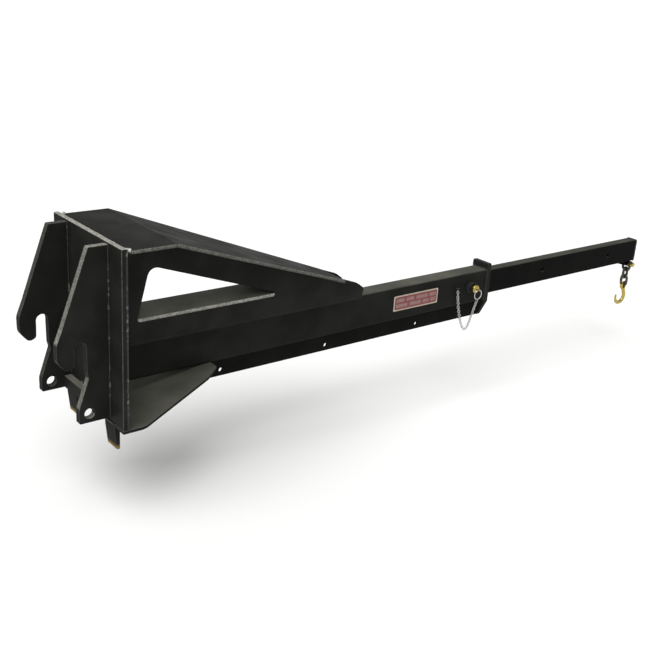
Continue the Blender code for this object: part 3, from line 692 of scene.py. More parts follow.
class TreeRun:
    """A Geometry Nodes tree with named inputs, and one way to run it."""

    def __init__(self, name: str, **numbers: float) -> None:
        """Make the tree with its inputs: geometry, a finish and one for each number.

        Args:
            name: name of the tree.
            **numbers: default of each number by its name, with _ for each space.
        """
        self.tree = bpy.data.node_groups.new(name, "GeometryNodeTree")
        face = self.tree.interface
        face.new_socket("Geometry", in_out="INPUT", socket_type="NodeSocketGeometry")
        finish = face.new_socket("Finish", in_out="INPUT", socket_type="NodeSocketMaterial")
        self.identifiers = {"Finish": finish.identifier}
        for word, default in numbers.items():
            socket = face.new_socket(word.replace("_", " "), in_out="INPUT",
                                     socket_type="NodeSocketFloat")
            socket.default_value = default
            self.identifiers[word] = socket.identifier
        face.new_socket("Geometry", in_out="OUTPUT", socket_type="NodeSocketGeometry")
        self.given = self.tree.nodes.new("NodeGroupInput").outputs

    def add(self, kind: str, inputs: dict[str | int, Any] | None = None,
            **settings: Any) -> Node:
        """Add a node to the tree."""
        return add_node(self.tree, kind, inputs, **settings)

    def close(self, geometry: NodeSocket) -> None:
        """End the tree with what it has made, as real geometry that has its finish."""
        real = self.add("GeometryNodeRealizeInstances", {"Geometry": geometry})
        done = self.add("GeometryNodeSetMaterial", {
            "Geometry": real.outputs[0], "Material": self.given["Finish"]})
        self.add("NodeGroupOutput", {0: done.outputs[0]})

    def run(self, source: Object, **values: Any) -> Mesh:
        """Run the tree on a helper object and remove the helper.

        Args:
            source: helper object that the tree reads.
            **values: inputs by name, with _ for each space.

        Returns:
            The made geometry as a plain mesh.
        """
        modifier = source.modifiers.new(self.tree.name, "NODES")
        modifier.node_group = self.tree
        for word, value in values.items():
            modifier[self.identifiers[word]] = value
        mesh = plain_mesh(source)
        source.modifiers.remove(modifier)
        drop(source)
        return mesh


def route_object(name: str, routes: Iterable[Sequence[Vector]]) -> Object:
    """Make a helper curve with one straight-sided line for each route.

    Args:
        name: name of the helper.
        routes: points of each line.

    Returns:
        The helper, linked to the scene.
    """
    curve = bpy.data.curves.new(name, "CURVE")
    curve.dimensions = "3D"
    for route in routes:
        spline = curve.splines.new("POLY")
        spline.points.add(len(route) - 1)
        for point, place in zip(spline.points, route):
            point.co = (*place, 1.0)
    return link_object(name, curve)


# ---- plates and box sections -----------------------------------------------------------
class PlateWork:
    """Cut plates and box sections: merged copies of the nodes with rounded, even edges."""

    COATS = {
        Coat.RUBBED_HIGHLIT_PLATE: ("back_plate",),
        Coat.NEAR_EAR: ("right_ear",),
        Coat.FAR_EAR: ("left_ear",),
        Coat.PLATE: ("collar_plate", "pin_boss", "chain_anchor"),
        Coat.WEB: ("left_web", "right_web", "saddle_plate"),
        Coat.DECK: ("deck_plate",),
        Coat.SHADED_KEEL: ("keel_rib",),
        Coat.TIE: ("tie_plate",),
        Coat.GUSSET: ("lower_gusset", "lower_cross_bar"),
        Coat.TUBE: ("outer_tube",),
        Coat.INNER_TUBE: ("inner_tube", "tip_cap", "tip_lug"),
        Coat.TOE: ("left_toe", "right_toe"),
        Coat.LABEL_BORDER: ("label_plate",),
        Coat.PAD: ("top_wear_pad", "bottom_wear_pad", "left_wear_pad", "right_wear_pad",
                   "boom_rear_top_pad", "boom_rear_bottom_pad"),
    }

    def __init__(self) -> None:
        """Build the tree that merges a plate and keeps its true corners."""
        run = TreeRun("plate_shading", Merge_distance=0.02 * MM, Corner_angle=math.radians(50))
        merged = run.add("GeometryNodeMergeByDistance", {
            "Geometry": run.given["Geometry"], "Distance": run.given["Merge distance"]})
        smooth = run.add("GeometryNodeSetShadeSmooth", {
            "Geometry": merged.outputs[0], "Shade Smooth": True}, domain="FACE")
        angle = run.add("GeometryNodeInputMeshEdgeAngle")
        corner = run.add("FunctionNodeCompare", {
            0: angle.outputs["Unsigned Angle"], 1: run.given["Corner angle"]},
            data_type="FLOAT", operation="GREATER_THAN")
        shaded = run.add("GeometryNodeSetShadeSmooth", {
            "Geometry": smooth.outputs[0], "Selection": corner.outputs[0],
            "Shade Smooth": False}, domain="EDGE")
        run.close(shaded.outputs[0])
        self.shading = run

    def build(self, fitter: Fitter, nodes: dict[str, Object]) -> None:
        """Make a finished copy of every plate, tube and pad.

        Args:
            fitter: hands the pieces to the frame.
            nodes: the frame's nodes.
        """
        for coat, names in self.COATS.items():
            for node in names:
                helper = link_object(node + "_copy", nodes[node].data.copy())
                mesh = self.shading.run(helper, Finish=coat.material())
                piece = fitter.fit(node + "_finished", mesh, coat, node, [node])
                even = piece.modifiers.new("even_faces", "WEIGHTED_NORMAL")
                even.keep_sharp = True
                even.weight = 100


# ---- welds -----------------------------------------------------------------------------
@dataclass
class WeldBeads:
    """Fillet welds along the seams, with the ripples of a hand-run bead."""

    leg: float = 0.0045
    ripple_pitch: float = 0.008
    ripple_depth: float = 0.30
    ring_spacing: float = 0.0026
    seed: float = 3.0
    deck_kink_x: float = 0.284
    deck_slope: float = -0.358
    deck_corner_x: float = 0.050
    deck_rear_half: float = 0.314
    deck_full_half: float = 0.341
    gusset_touch_x: float = 0.620
    web_seam_end_x: float = 1.470
    saddle_end_half: float = 0.050
    gusset_end_half: float = 0.046
    gusset_step_in: float = 0.012
    toe_gap: float = 0.02
    end_inset: float = 0.004
    kink_gap: float = 0.006

    def tree(self) -> TreeRun:
        """Return a new tree that runs a rippled bead along each line."""
        run = TreeRun("weld_bead", Leg=self.leg, Ripple_pitch=self.ripple_pitch,
                      Ripple_depth=self.ripple_depth, Ring_spacing=self.ring_spacing,
                      Seed=self.seed)
        given = run.given
        line = run.add("GeometryNodeResampleCurve", {
            "Curve": given["Geometry"], "Length": given["Ring spacing"]}, mode="LENGTH")
        along = run.add("GeometryNodeSplineParameter").outputs["Length"]
        turns = run.add("ShaderNodeMath", {0: along, 1: given["Ripple pitch"]}, operation="DIVIDE")
        phase = run.add("ShaderNodeMath", {0: turns.outputs[0], 1: math.pi}, operation="MULTIPLY")
        wave = run.add("ShaderNodeMath", {0: phase.outputs[0]}, operation="SINE")
        crest = run.add("ShaderNodeMath", {0: wave.outputs[0]}, operation="ABSOLUTE")
        ripple = run.add("ShaderNodeMath", {
            0: crest.outputs[0], 1: given["Ripple depth"], 2: 0.75}, operation="MULTIPLY_ADD")
        wander = run.add("ShaderNodeTexNoise", {
            "W": given["Seed"], "Scale": 60.0, "Detail": 2.0}, noise_dimensions="4D")
        size = run.add("ShaderNodeMath", {
            0: wander.outputs["Fac"], 1: 0.6, 2: ripple.outputs[0]}, operation="MULTIPLY_ADD")
        profile = run.add("GeometryNodeCurvePrimitiveCircle", {
            "Resolution": 8, "Radius": given["Leg"]})
        sized = run.add("GeometryNodeSetCurveRadius", {
            "Curve": line.outputs[0], "Radius": size.outputs[0]})
        bead = run.add("GeometryNodeCurveToMesh", {
            "Curve": sized.outputs[0], "Profile Curve": profile.outputs[0], "Fill Caps": True})
        if "Scale" in bead.inputs:
            run.tree.links.new(size.outputs[0], bead.inputs["Scale"])
        smooth = run.add("GeometryNodeSetShadeSmooth", {
            "Geometry": bead.outputs[0], "Shade Smooth": True})
        run.close(smooth.outputs[0])
        return run

    @staticmethod
    def both_sides(route: Sequence[tuple[float, float, float]]) -> list[list[Vector]]:
        """Return a route and its mirror image across the centre plane."""
        return [[Vector((x, side * y, z)) for x, y, z in route] for side in (1, -1)]

    @staticmethod
    def loop(x: float, half: float, low: float, high: float) -> list[Vector]:
        """Return a rectangle round a box section, closed on itself."""
        corners = [(-half, low), (half, low), (half, high), (-half, high), (-half, low)]
        return [Vector((x, y, z)) for y, z in corners]

    def coupler_routes(self) -> list[list[Vector]]:
        """Return the seams round the back plate, a line of points for each."""
        plate_low, plate_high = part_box("back_plate")
        ear_low, ear_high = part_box("left_ear")
        web_low, web_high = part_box("left_web")
        bar_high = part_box("lower_cross_bar")[1]
        toe_low, toe_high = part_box("left_toe")
        face = plate_high.x
        inset = self.end_inset
        routes = self.both_sides([(face, plate_high.y - inset / 2, plate_low.z + inset),
                                   (face, plate_high.y - inset / 2, plate_high.z - inset)])
        routes += self.both_sides([(face, web_high.y, web_low.z), (face, web_high.y, web_high.z)])
        for y in (ear_low.y, ear_high.y):
            routes += self.both_sides([(-inset / 2, y, ear_low.z + inset),
                                       (-inset / 2, y, ear_high.z - inset)])
        routes.append([Vector((0.0, y, bar_high.z)) for y in (-ear_low.y, ear_low.y)])
        routes += self.both_sides([(0.0, toe_low.y, plate_low.z), (0.0, toe_high.y, plate_low.z)])
        routes.append([Vector((face, y, plate_low.z + inset / 2))
                       for y in (-plate_high.y + self.toe_gap, plate_high.y - self.toe_gap)])
        return routes

    def deck_routes(self) -> list[list[Vector]]:
        """Return the ground-back seam of the deck on the plate, round both rear corners; its
        near-white colour is partly a painted highlight.
        """
        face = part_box("back_plate")[1].x
        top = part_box("deck_plate")[1].z
        return [[Vector((self.deck_corner_x, -self.deck_full_half, top)),
                 Vector((face + MM, -self.deck_rear_half, top)),
                 Vector((face + MM, self.deck_rear_half, top)),
                 Vector((self.deck_corner_x, self.deck_full_half, top))]]

    def frame_routes(self) -> list[list[Vector]]:
        """Return the seams of the webs, box, gusset, keel and collar."""
        web_low, web_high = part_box("left_web")
        tube_low, tube_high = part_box("outer_tube")
        gusset_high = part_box("lower_gusset")[1]
        keel_low, keel_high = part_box("keel_rib")
        collar_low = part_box("collar_plate")[0]
        saddle_low, saddle_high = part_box("saddle_plate")
        under, inner_y = web_high.z, tube_high.y - self.gusset_step_in
        end_x, inset = self.web_seam_end_x, self.end_inset
        end_z = under + self.deck_slope * (end_x - self.deck_kink_x)
        routes = self.both_sides([(web_low.x + inset, web_high.y, under),
                                  (self.deck_kink_x - self.kink_gap, web_high.y, under),
                                  (end_x, web_high.y, end_z)])
        routes += self.both_sides([(saddle_low.x, tube_high.y, tube_high.z),
                                   (saddle_high.x, tube_high.y - inset, tube_high.z)])
        routes.append([Vector((saddle_high.x, side * self.saddle_end_half, tube_high.z))
                       for side in (-1, 1)])
        routes.append(self.loop(tube_low.x, tube_high.y, tube_low.z, tube_high.z))
        routes.append(self.loop(collar_low.x, tube_high.y, tube_low.z, tube_high.z))
        routes += self.both_sides([(gusset_high.x, keel_high.y, tube_low.z),
                                   (collar_low.x, keel_high.y, tube_low.z)])
        routes += self.both_sides([(self.gusset_touch_x, inner_y, tube_low.z),
                                   (gusset_high.x, inner_y, tube_low.z)])
        routes.append([Vector((gusset_high.x, side * self.gusset_end_half, tube_low.z))
                       for side in (-1, 1)])
        return routes

    def boss_route(self) -> list[Vector]:
        """Return the ring round the foot of the pin boss."""
        low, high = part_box("pin_boss")
        centre, radius = (low + high) / 2, (high.x - low.x) / 2
        return [Vector((centre.x + radius * math.cos(a), high.y - MM,
                        centre.z + radius * math.sin(a)))
                for a in (2 * math.pi * k / 32 for k in range(33))]

    def tip_routes(self) -> list[list[Vector]]:
        """Return the seams of the tip cap and the lifting lug."""
        tube_low, tube_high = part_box("inner_tube")
        lug_low, lug_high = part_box("tip_lug")
        routes = [self.loop(tube_high.x, tube_high.y - MM, tube_low.z + MM,
                            tube_high.z - MM)]
        routes += self.both_sides([(lug_low.x + self.end_inset, lug_high.y, tube_low.z),
                                   (lug_high.x - self.end_inset, lug_high.y, tube_low.z)])
        return routes

    def build(self, fitter: Fitter) -> None:
        """Run every bead and hand it to the body that it is on."""
        run = self.tree()
        batches = {
            "coupler_welds": (self.coupler_routes(), "back_plate", 1.0, Coat.SEAM),
            "deck_seam": (self.deck_routes(), "back_plate", 1.6, Coat.GROUND_SEAM_HIGHLIGHT),
            "frame_welds": (self.frame_routes(), "outer_tube", 1.0, Coat.QUIET_SEAM),
            "boss_weld": ([self.boss_route()], "pin_boss", 0.8, Coat.QUIET_SEAM),
            "tip_welds": (self.tip_routes(), "inner_tube", 0.6, Coat.SEAM),
        }
        for name, (routes, like, share, coat) in batches.items():
            mesh = run.run(route_object(name + "_route", routes),
                           Finish=coat.material(), Leg=self.leg * share)
            fitter.fit(name, mesh, coat, like)


# ---- keeper chain and label ------------------------------------------------------------
@dataclass
class KeeperChain:
    """Light steel chain from its anchor to the pull ring."""

    route: Sequence[tuple[float, float, float]] = (
        (2.428, -0.070, -0.1905), (2.430, -0.075, -0.240), (2.440, -0.080, -0.310),
        (2.456, -0.086, -0.375), (2.474, -0.091, -0.425), (2.492, -0.096, -0.448),
        (2.508, -0.101, -0.440), (2.520, -0.107, -0.405), (2.530, -0.113, -0.355),
        (2.538, -0.120, -0.305), (2.546, -0.1265, -0.2585))
    pitch: float = 0.0135
    link_length: float = 0.0205
    link_width: float = 0.0140
    wire_radius: float = 0.0022

    def tree(self) -> TreeRun:
        """Return a new tree that strings links along a route, each turned a quarter."""
        run = TreeRun("jack_chain", Pitch=self.pitch, Link_length=self.link_length,
                      Link_width=self.link_width, Wire_radius=self.wire_radius)
        given = run.given
        line = run.add("GeometryNodeResampleCurve", {
            "Curve": given["Geometry"], "Length": given["Pitch"]}, mode="LENGTH")
        ring = run.add("GeometryNodeCurvePrimitiveCircle", {"Resolution": 16, "Radius": 0.5})
        size = run.add("ShaderNodeCombineXYZ", {
            "X": given["Link width"], "Y": given["Link length"], "Z": 1.0})
        oval = run.add("GeometryNodeTransform", {
            "Geometry": ring.outputs[0], "Scale": size.outputs[0],
            "Rotation": (math.pi / 2, 0.0, 0.0)})
        wire = run.add("GeometryNodeCurvePrimitiveCircle", {
            "Resolution": 7, "Radius": given["Wire radius"]})
        link = run.add("GeometryNodeCurveToMesh", {
            "Curve": oval.outputs[0], "Profile Curve": wire.outputs[0]})
        smooth = run.add("GeometryNodeSetShadeSmooth", {
            "Geometry": link.outputs[0], "Shade Smooth": True})
        tangent = run.add("GeometryNodeInputTangent")
        along = run.add("FunctionNodeAlignRotationToVector", {
            "Vector": tangent.outputs[0]}, axis="Z")
        index = run.add("GeometryNodeInputIndex")
        odd = run.add("ShaderNodeMath", {0: index.outputs[0], 1: 2.0}, operation="MODULO")
        turn = run.add("ShaderNodeMath", {0: odd.outputs[0], 1: math.pi / 2},
                       operation="MULTIPLY")
        spin = run.add("FunctionNodeAxisAngleToRotation", {
            "Axis": (0.0, 0.0, 1.0), "Angle": turn.outputs[0]})
        pose = run.add("FunctionNodeRotateRotation", {
            "Rotation": along.outputs[0], "Rotate By": spin.outputs[0]},
            rotation_space="LOCAL")
        strung = run.add("GeometryNodeInstanceOnPoints", {
            "Points": line.outputs[0], "Instance": smooth.outputs[0],
            "Rotation": pose.outputs[0]})
        run.close(strung.outputs[0])
        return run

    def smooth_route(self) -> list[Vector]:
        """Return a fine curve through the route's points (Catmull-Rom)."""
        points = [Vector(p) for p in self.route]
        points = [2 * points[0] - points[1], *points, 2 * points[-1] - points[-2]]
        steps = 10
        fine = []
        for a, b, c, d in zip(points, points[1:], points[2:], points[3:]):
            for k in range(steps):
                t = k / steps
                fine.append(0.5 * (2 * b + (c - a) * t + (2 * a - 5 * b + 4 * c - d) * t * t
                                   + (3 * b - a - 3 * c + d) * t ** 3))
        return [*fine, points[-2]]

    def build(self, fitter: Fitter) -> None:
        """String the chain and let it stand for the plain cord."""
        source = route_object("keeper_route", [self.smooth_route()])
        mesh = self.tree().run(source, Finish=Coat.BRIGHT_ZINC.material())
        fitter.fit("keeper_chain_links", mesh, Coat.BRIGHT_ZINC, "keeper_chain",
                   ["keeper_chain"])


@dataclass
class LabelPanel:
    """Plain printed panel on the label plate, and a domed rivet in each corner."""

    border: float = 0.008
    film: float = 0.0006
    corner: float = 0.004
    rivet_inset: float = 0.009
    rivet_radius: float = 0.0042
    lap: float = 0.0001
    row_places: tuple[float, float] = (0.55, -0.55)
    bar_half: float = 0.36
    bar_ends: tuple[tuple[tuple[float, float], ...], ...] = (
        ((0.00, 0.20), (0.25, 0.44), (0.50, 0.78), (0.83, 1.00)),
        ((0.00, 0.28), (0.33, 0.62), (0.67, 0.82), (0.87, 1.00)))

    def rounded_slab(self, name: str, low: Vector, high: Vector, back: float,
                     face: float) -> Mesh:
        """Make a thin slab with round corners in the XZ plane.

        Args:
            name: name of the mesh.
            low: lowest corner.
            high: highest corner.
            back: Y of its back.
            face: Y of its face.

        Returns:
            A closed slab.
        """
        r = self.corner
        centres = [(high.x - r, high.z - r, 0), (low.x + r, high.z - r, 90),
                   (low.x + r, low.z + r, 180), (high.x - r, low.z + r, 270)]
        outline = [(x + r * math.cos(math.radians(start + 18 * k)),
                    z + r * math.sin(math.radians(start + 18 * k)))
                   for x, z, start in centres for k in range(6)]
        mesh = Shapes.loft(name, [[Vector((x, y, z)) for x, z in outline] for y in (back, face)])
        mesh.set_sharp_from_angle(angle=CRISP)
        return mesh

    def rivet_tree(self) -> TreeRun:
        """Return a new tree that sets a domed rivet on each point."""
        run = TreeRun("label_rivets", Radius=self.rivet_radius)
        dome = run.add("GeometryNodeMeshUVSphere", {
            "Segments": 20, "Rings": 10, "Radius": run.given["Radius"]})
        flat = run.add("GeometryNodeTransform", {
            "Geometry": dome.outputs[0], "Scale": (1.0, 0.45, 1.0)})
        smooth = run.add("GeometryNodeSetShadeSmooth", {
            "Geometry": flat.outputs[0], "Shade Smooth": True})
        points = run.add("GeometryNodeInstanceOnPoints", {
            "Points": run.given["Geometry"], "Instance": smooth.outputs[0]})
        run.close(points.outputs[0])
        return run

    def build(self, fitter: Fitter) -> None:
        """Lay the red panel with its rows of blank bars and set the rivets."""
        low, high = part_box("label_plate")
        face = low.y
        inset = Vector((self.border, 0.0, self.border))
        panel = self.rounded_slab("label_panel", low + inset, high - inset, face - self.lap,
                                  face - self.film)
        fitter.fit("label_panel", panel, Coat.LABEL_PANEL, "label_plate")
        inset = inset + Vector((self.rivet_inset, 0.0, self.rivet_inset))
        span = high.x - low.x - 2 * inset.x
        height = (high.z - low.z) / 2 - inset.z
        middle = (low.z + high.z) / 2
        bars = []
        for row, gaps in zip(self.row_places, self.bar_ends):
            z = middle + height * row
            for start, end in gaps:
                bars.append(self.rounded_slab(
                    "label_bar",
                    Vector((low.x + inset.x + span * start, 0.0, z - height * self.bar_half)),
                    Vector((low.x + inset.x + span * end, 0.0, z + height * self.bar_half)),
                    face - self.film + self.lap, face - 2 * self.film))
        fitter.fit("label_bars", Shapes.joined("label_bars", bars), Coat.LABEL_BAR,
                   "label_plate")
        points = bpy.data.meshes.new("rivet_points")
        points.from_pydata([(x, face, z)
                            for x in (low.x + self.rivet_inset, high.x - self.rivet_inset)
                            for z in (low.z + self.rivet_inset, high.z - self.rivet_inset)],
                           [], [])
        mesh = self.rivet_tree().run(link_object("rivet_points", points),
                                     Finish=Coat.BRIGHT_ZINC.material())
        fitter.fit("label_rivets", mesh, Coat.BRIGHT_ZINC, "label_plate")


# ---- lock pin --------------------------------------------------------------------------
@dataclass
class LockPin:
    """Zinc-plated lock pin with a domed head and an eye tab, and its pull ring."""

    radius: float = 0.012
    head_radius: float = 0.026
    head_face_y: float = -0.0993
    rim: float = 0.006
    dome: float = 0.012
    tab_half: float = 0.003
    tab_width: float = 0.009
    tab_hole_y: float = -0.1273
    tab_hole_radius: float = 0.005
    ring_wire: float = 0.003
    ring_sides: int = 72
    head_edge: float = 0.0012
    tip_chamfer: float = 0.003
    tab_root: float = 0.006

    def build(self, fitter: Fitter) -> None:
        """Turn the pin, forge its tab on and bend the ring."""
        low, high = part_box("lock_pin")
        axis_x = (low.x + high.x) / 2
        axis_z = (low.z + high.z) / 2
        place = Vector((axis_x, 0.0, axis_z))
        out = Vector((0, -1, 0))
        head = -self.head_face_y
        tip = -high.y
        edge, chamfer = self.head_edge, self.tip_chamfer
        profile = [(CORE, tip), (self.radius - chamfer, tip), (self.radius, tip + chamfer),
                   (self.radius, head), (self.head_radius - edge, head),
                   (self.head_radius, head + edge)]
        profile += [(max(CORE, self.head_radius * math.cos(a)),
                     head + self.rim + self.dome * math.sin(a))
                    for a in (math.radians(9 * k) for k in range(11))]
        pin = Shapes.turn("turned_pin", profile, place, out)
        tab = Shapes.washer("pin_eye", self.tab_hole_radius, self.tab_width, self.tab_half,
                            Vector((axis_x, self.tab_hole_y, axis_z)), AXIS_X)
        fitter.fit("lock_pin_turned", pin, Coat.YELLOW_ZINC, "lock_pin", ["lock_pin"])
        neck = Shapes.sweep("pin_tab", [Vector((axis_x, y, axis_z)) for y in
                                        (-head - self.tab_root, self.tab_hole_y + self.tab_root)],
                            AXIS_X, [(self.tab_width, self.tab_half)] * 2)
        fitter.fit("lock_pin_eye", Shapes.joined("lock_pin_eye", [tab, neck]),
                   Coat.YELLOW_ZINC, "lock_pin")
        ring_low, ring_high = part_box("pull_ring")
        centre = (ring_low + ring_high) / 2
        radius = (ring_high.x - ring_low.x) / 2 - self.ring_wire
        path = [centre + Vector((radius * math.cos(a), 0.0, radius * math.sin(a)))
                for a in Shapes.round_angles(self.ring_sides)]
        ring = Shapes.sweep("pull_ring_wire", path, AXIS_Y,
                            [(self.ring_wire, self.ring_wire)] * self.ring_sides, closed=True)
        fitter.fit("pull_ring_wire", ring, Coat.BRIGHT_ZINC, "pull_ring", ["pull_ring"])


# ---- lifting tackle --------------------------------------------------------------------
@dataclass
class LiftingTackle:
    """Bow shackle, two welded chain links and a forged clevis hook."""

    pin_x: float = 4.278
    pin_z: float = -0.298
    bow_wire: float = 0.010
    bow_half_width: float = 0.030
    bow_bottom_z: float = -0.3525
    link_wire: float = 0.009
    link_inner_length: float = 0.060
    link_inner_width: float = 0.028
    clevis_z: float = -0.4521
    voxel: float = 0.0012
    eye_lift: float = 0.004
    bow_eye: tuple[float, float, float] = (0.0120, 0.0212, 0.0092)  # hole, rim, half width
    shackle_shank: tuple[float, float] = (0.011, 0.040)             # radius, half length
    shackle_head: float = 0.016
    shackle_nut: float = 0.017
    clevis_shank: float = 0.0080
    clevis_head: float = 0.012
    clevis_head_x: float = 0.0270
    clevis_hole: float = 0.0088
    cheek_x: float = 0.0195
    cheek_half: float = 0.0068
    cheek_width: float = 0.0125
    crotch_drop: float = 0.038
    bowl_back: float = 0.020
    bowl_drop: float = 0.062
    bowl_mean: float = 0.0495
    bowl_wide: float = 0.0135
    bowl_deep: float = 0.0128
    bowl_arc: tuple[float, float] = (40, -203)  # degrees, from the shank round to the point
    bowl_turns: int = 26
    taper_from: float = 0.66
    taper: float = 0.0085

    def at(self, x: float, y: float, z: float) -> Vector:
        """Return a point given from the lifting pin's own X."""
        return Vector((self.pin_x + x, y, z))

    def link(self, name: str, across: Vector) -> Mesh:
        """Bend one chain link, with the bulge of its butt weld on one side.

        Args:
            name: the node that gives the link's place.
            across: unit normal of the link's plane.

        Returns:
            The link's mesh.
        """
        low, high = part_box(name)
        centre = (low + high) / 2
        radius = self.link_inner_width / 2 + self.link_wire
        half = self.link_inner_length / 2 + self.link_wire - radius
        side = across.cross(AXIS_Z)
        bends = [(half, math.pi * k / 18) for k in range(19)]
        bends += [(-half, math.pi + math.pi * k / 18) for k in range(19)]
        path = [centre + side * radius * math.cos(a) + Vector((0, 0, shift + radius * math.sin(a)))
                for shift, a in bends]
        straight = [(path[18] + (path[19] - path[18]) * k / 8) for k in range(1, 8)]
        path = path[:19] + straight + path[19:]
        bulge = {21: 0.06, 22: 0.20, 23: 0.06}
        sections = [(self.link_wire * (1 + bulge.get(i, 0.0)),) * 2 for i in range(len(path))]
        return Shapes.sweep(name + "_wire", path, across, sections, closed=True, sides=20)

    def shackle(self) -> Mesh:
        """Return the forged bow with its two eyes."""
        bend = self.bow_half_width - 0.002
        centre_z = self.bow_bottom_z + bend
        path = [self.at(0, -self.bow_half_width, self.pin_z - self.eye_lift)]
        path += [self.at(0, -bend * math.cos(a), centre_z - bend * math.sin(a))
                 for a in (math.pi * k / 24 for k in range(25))]
        path.append(self.at(0, self.bow_half_width, self.pin_z - self.eye_lift))
        bow = Shapes.sweep("bow_wire", path, AXIS_X,
                           [(self.bow_wire, self.bow_wire)] * len(path))
        eyes = [Shapes.washer("bow_eye", *self.bow_eye,
                              self.at(0, side * self.bow_half_width, self.pin_z), AXIS_Y)
                for side in (1, -1)]
        return Shapes.forged(Shapes.joined("shackle_bow_forged", [bow, *eyes]), self.voxel)

    def shackle_pin(self) -> Mesh:
        """Return the shackle's turned pin with its round head and its nut."""
        low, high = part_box("shackle_pin")
        head, nut = self.shackle_head, self.shackle_nut
        shank, half = self.shackle_shank
        profile = [(CORE, low.y), (head - 1.5 * MM, low.y), (head, low.y + 1.5 * MM),
                   (head, -half - MM), (shank, -half), (shank, half),
                   (nut - 0.5 * MM, half + MM), (nut, half + 2.5 * MM),
                   (nut, high.y - 3 * MM), (nut - 2 * MM, high.y - MM),
                   (CORE, high.y - 0.5 * MM)]
        return Shapes.turn("shackle_pin_turned", profile, self.at(0, 0, self.pin_z),
                           AXIS_Y)

    def hook(self) -> Mesh:
        """Return the forged hook: two cheeks, a shank and a bowl that thins to its point."""
        cheek_x, cheek_half, wide = self.cheek_x, self.cheek_half, self.cheek_width
        crotch = self.clevis_z - self.crotch_drop
        eyes = [Shapes.washer("clevis_eye", self.clevis_hole, wide, cheek_half,
                              self.at(side * cheek_x, 0, self.clevis_z), AXIS_X)
                for side in (1, -1)]
        bend_z = crotch + 0.012
        path = [self.at(-cheek_x, 0, self.clevis_z - self.eye_lift)]
        path += [self.at(-cheek_x * math.cos(a), 0, bend_z - cheek_x * math.sin(a) * 0.9)
                 for a in (math.pi * k / 16 for k in range(17))]
        path.append(self.at(cheek_x, 0, self.clevis_z - self.eye_lift))
        fork = Shapes.sweep("clevis_fork", path, AXIS_Y,
                            [(cheek_half, wide)] * len(path))
        bowl = self.at(-self.bowl_back, 0, crotch - self.bowl_drop)
        spine = [(self.at(0.004, 0, crotch - 0.004), 0.0150, 0.0125),
                 (self.at(0.014, 0, crotch - 0.016), 0.0140, 0.0128)]
        start, end = self.bowl_arc
        for k in range(self.bowl_turns + 1):
            share = k / self.bowl_turns
            angle = math.radians(start + (end - start) * share)
            point = bowl + Vector((math.cos(angle), 0, math.sin(angle))) * self.bowl_mean
            thinned = max(0.0, share - self.taper_from) / (1 - self.taper_from)
            thick = self.bowl_wide - self.taper * thinned
            spine.append((point, thick, min(self.bowl_deep, thick)))
        body = Shapes.sweep("hook_bowl", [p for p, _, _ in spine], AXIS_Y,
                            [(wide, deep) for _, wide, deep in spine], sides=20)
        return Shapes.forged(Shapes.joined("clevis_hook_forged", [*eyes, fork, body]),
                             self.voxel, 6)

    def clevis_pin(self) -> Mesh:
        """Return the turned clevis pin with its round head."""
        low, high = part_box("clevis_pin")
        start, end = low.x - self.pin_x, high.x - self.pin_x
        head, shank, under = self.clevis_head, self.clevis_shank, self.clevis_head_x
        profile = [(CORE, end), (head - 2 * MM, end - 0.3 * MM), (head, end - 2 * MM),
                   (head, under), (shank, under - 0.2 * MM), (shank, start + 1.5 * MM),
                   (shank - 1.5 * MM, start), (CORE, start)]
        return Shapes.turn("clevis_pin_turned", profile, self.at(0, 0, self.clevis_z),
                           AXIS_X)

    def build(self, fitter: Fitter) -> None:
        """Make the tackle from the pin down to the hook."""
        pieces = {
            "shackle_bow": ("shackle_bow_forged", self.shackle(), Coat.FORGED),
            "shackle_pin": ("shackle_pin_turned", self.shackle_pin(), Coat.YELLOW_ZINC),
            "chain_link_1": ("chain_link_upper", self.link("chain_link_1", AXIS_Y),
                             Coat.FORGED),
            "chain_link_2": ("chain_link_lower", self.link("chain_link_2", AXIS_X),
                             Coat.FORGED),
            "clevis_hook": ("clevis_hook_forged", self.hook(), Coat.YELLOW_ZINC),
            "clevis_pin": ("clevis_pin_turned", self.clevis_pin(), Coat.FORGED),
        }
        for node, (name, mesh, coat) in pieces.items():
            fitter.fit(name, mesh, coat, node, [node])


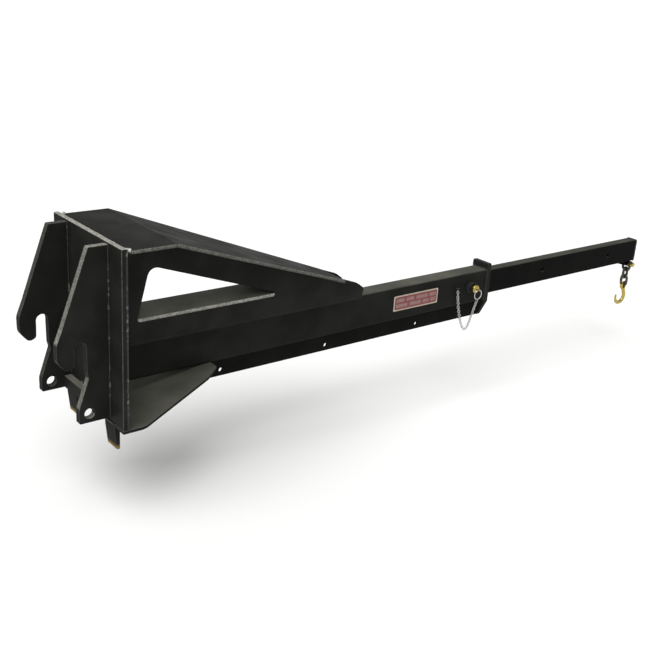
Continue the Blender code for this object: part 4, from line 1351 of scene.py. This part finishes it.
# ---- studio ----------------------------------------------------------------------------
@dataclass
class Studio:
    """Pale floor, soft lights and the camera."""

    camera_place: tuple[float, float, float] = (-1.9053, -4.0739, 1.7507)
    azimuth: float = -39.46
    elevation: float = 20.71
    roll: float = 3.80
    lens: float = 54.89
    shift: tuple[float, float] = (0.0009, -0.0061)
    floor_drop: float = 0.30
    floor_half: float = 400.0
    floor_colour: str = "#f8f8f7"
    sky_colour: str = "#ffffff"
    sky_heights: tuple[float, float] = (0.04, 0.50)  # where the horizon ends, the zenith starts
    horizon_strength: float = 1.02
    zenith_strength: float = 0.45
    sun_direction: tuple[float, float, float] = (-0.42, -0.22, 0.88)
    sun_strength: float = 2.35
    sun_angle: float = 50.0

    def floor(self, lowest: float) -> None:
        """Lay a wide pale floor below the jib, which hangs clear of it on a machine.

        Args:
            lowest: height of the jib's lowest point.
        """
        mesh = bpy.data.meshes.new("floor")
        half, z = self.floor_half, lowest - self.floor_drop
        mesh.from_pydata([(-half, -half, z), (half, -half, z), (half, half, z), (-half, half, z)],
                         [], [(0, 1, 2, 3)])
        floor = link_object("floor", mesh)
        material = bpy.data.materials.new("pale_floor_paint")
        material.use_nodes = True
        shader = material.node_tree.nodes["Principled BSDF"]
        shader.inputs["Base Color"].default_value = linear(self.floor_colour)
        shader.inputs["Roughness"].default_value = 0.9
        shader.inputs["Specular IOR Level"].default_value = 0.1
        mesh.materials.append(material)
        floor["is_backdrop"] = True

    def lights(self) -> None:
        """Hang one broad soft light overhead, under a sky that is palest at the horizon."""
        light = bpy.data.lights.new("overhead_light", "SUN")
        light.energy = self.sun_strength
        light.angle = math.radians(self.sun_angle)
        lamp = link_object("overhead_light", light)
        lamp.rotation_euler = Vector(self.sun_direction).to_track_quat("Z", "Y").to_euler()
        world = bpy.data.worlds.new("studio_sky")
        world.use_nodes = True
        tree = world.node_tree
        direction = add_node(tree, "ShaderNodeTexCoord").outputs["Generated"]
        height = add_node(tree, "ShaderNodeSeparateXYZ", {0: direction})
        strength = add_node(tree, "ShaderNodeMapRange", Ramp(
            *self.sky_heights, self.horizon_strength, self.zenith_strength).of(height.outputs["Z"]))
        background = tree.nodes["Background"]
        background.inputs["Color"].default_value = linear(self.sky_colour)
        tree.links.new(strength.outputs["Result"], background.inputs["Strength"])
        bpy.context.scene.world = world

    def camera(self) -> None:
        """Set the camera at its place, aimed by azimuth, elevation and roll."""
        turn, tilt = math.radians(self.azimuth), math.radians(self.elevation)
        back = Vector((math.sin(turn) * math.cos(tilt), -math.cos(turn) * math.cos(tilt),
                       math.sin(tilt)))
        aim = (-back).to_track_quat("-Z", "Y").to_matrix().to_4x4()
        data = bpy.data.cameras.new("camera")
        data.lens = self.lens
        data.sensor_width = 36.0
        data.shift_x, data.shift_y = self.shift
        data.clip_end = 2 * self.floor_half
        camera = link_object("camera", data)
        camera.matrix_world = (Matrix.Translation(self.camera_place) @ aim
                               @ Matrix.Rotation(math.radians(self.roll), 4, "Z"))
        bpy.context.scene.camera = camera

    def build(self, lowest: float) -> None:
        """Set up the floor, the lights, the camera and plain colours."""
        self.floor(lowest)
        self.lights()
        self.camera()
        bpy.context.scene.view_settings.view_transform = "Standard"


def save_sizes(cad: tuple[Vector, Vector], shown: tuple[Vector, Vector]) -> None:
    """Put the frame's box and the shown model's box in a table by name.

    Args:
        cad: lowest and highest corner of the frame.
        shown: lowest and highest corner of the finished model.
    """
    rows = {name: [list(corner) for corner in box] for name, box in
            (("cad", cad), ("visual", shown))}


def main() -> None:
    """Build every sub-assembly in order, then the studio."""
    logging.basicConfig(level=logging.INFO, format="%(name)s: %(message)s")
    cad_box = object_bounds()
    fitter = Fitter(frame["record"])
    PlateWork().build(fitter, frame["nodes"])
    WeldBeads().build(fitter)
    KeeperChain().build(fitter)
    LabelPanel().build(fitter)
    LockPin().build(fitter)
    LiftingTackle().build(fitter)
    Studio().build(cad_box[0].z)
    save_sizes(cad_box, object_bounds())


if __name__ == "__main__":
    main()
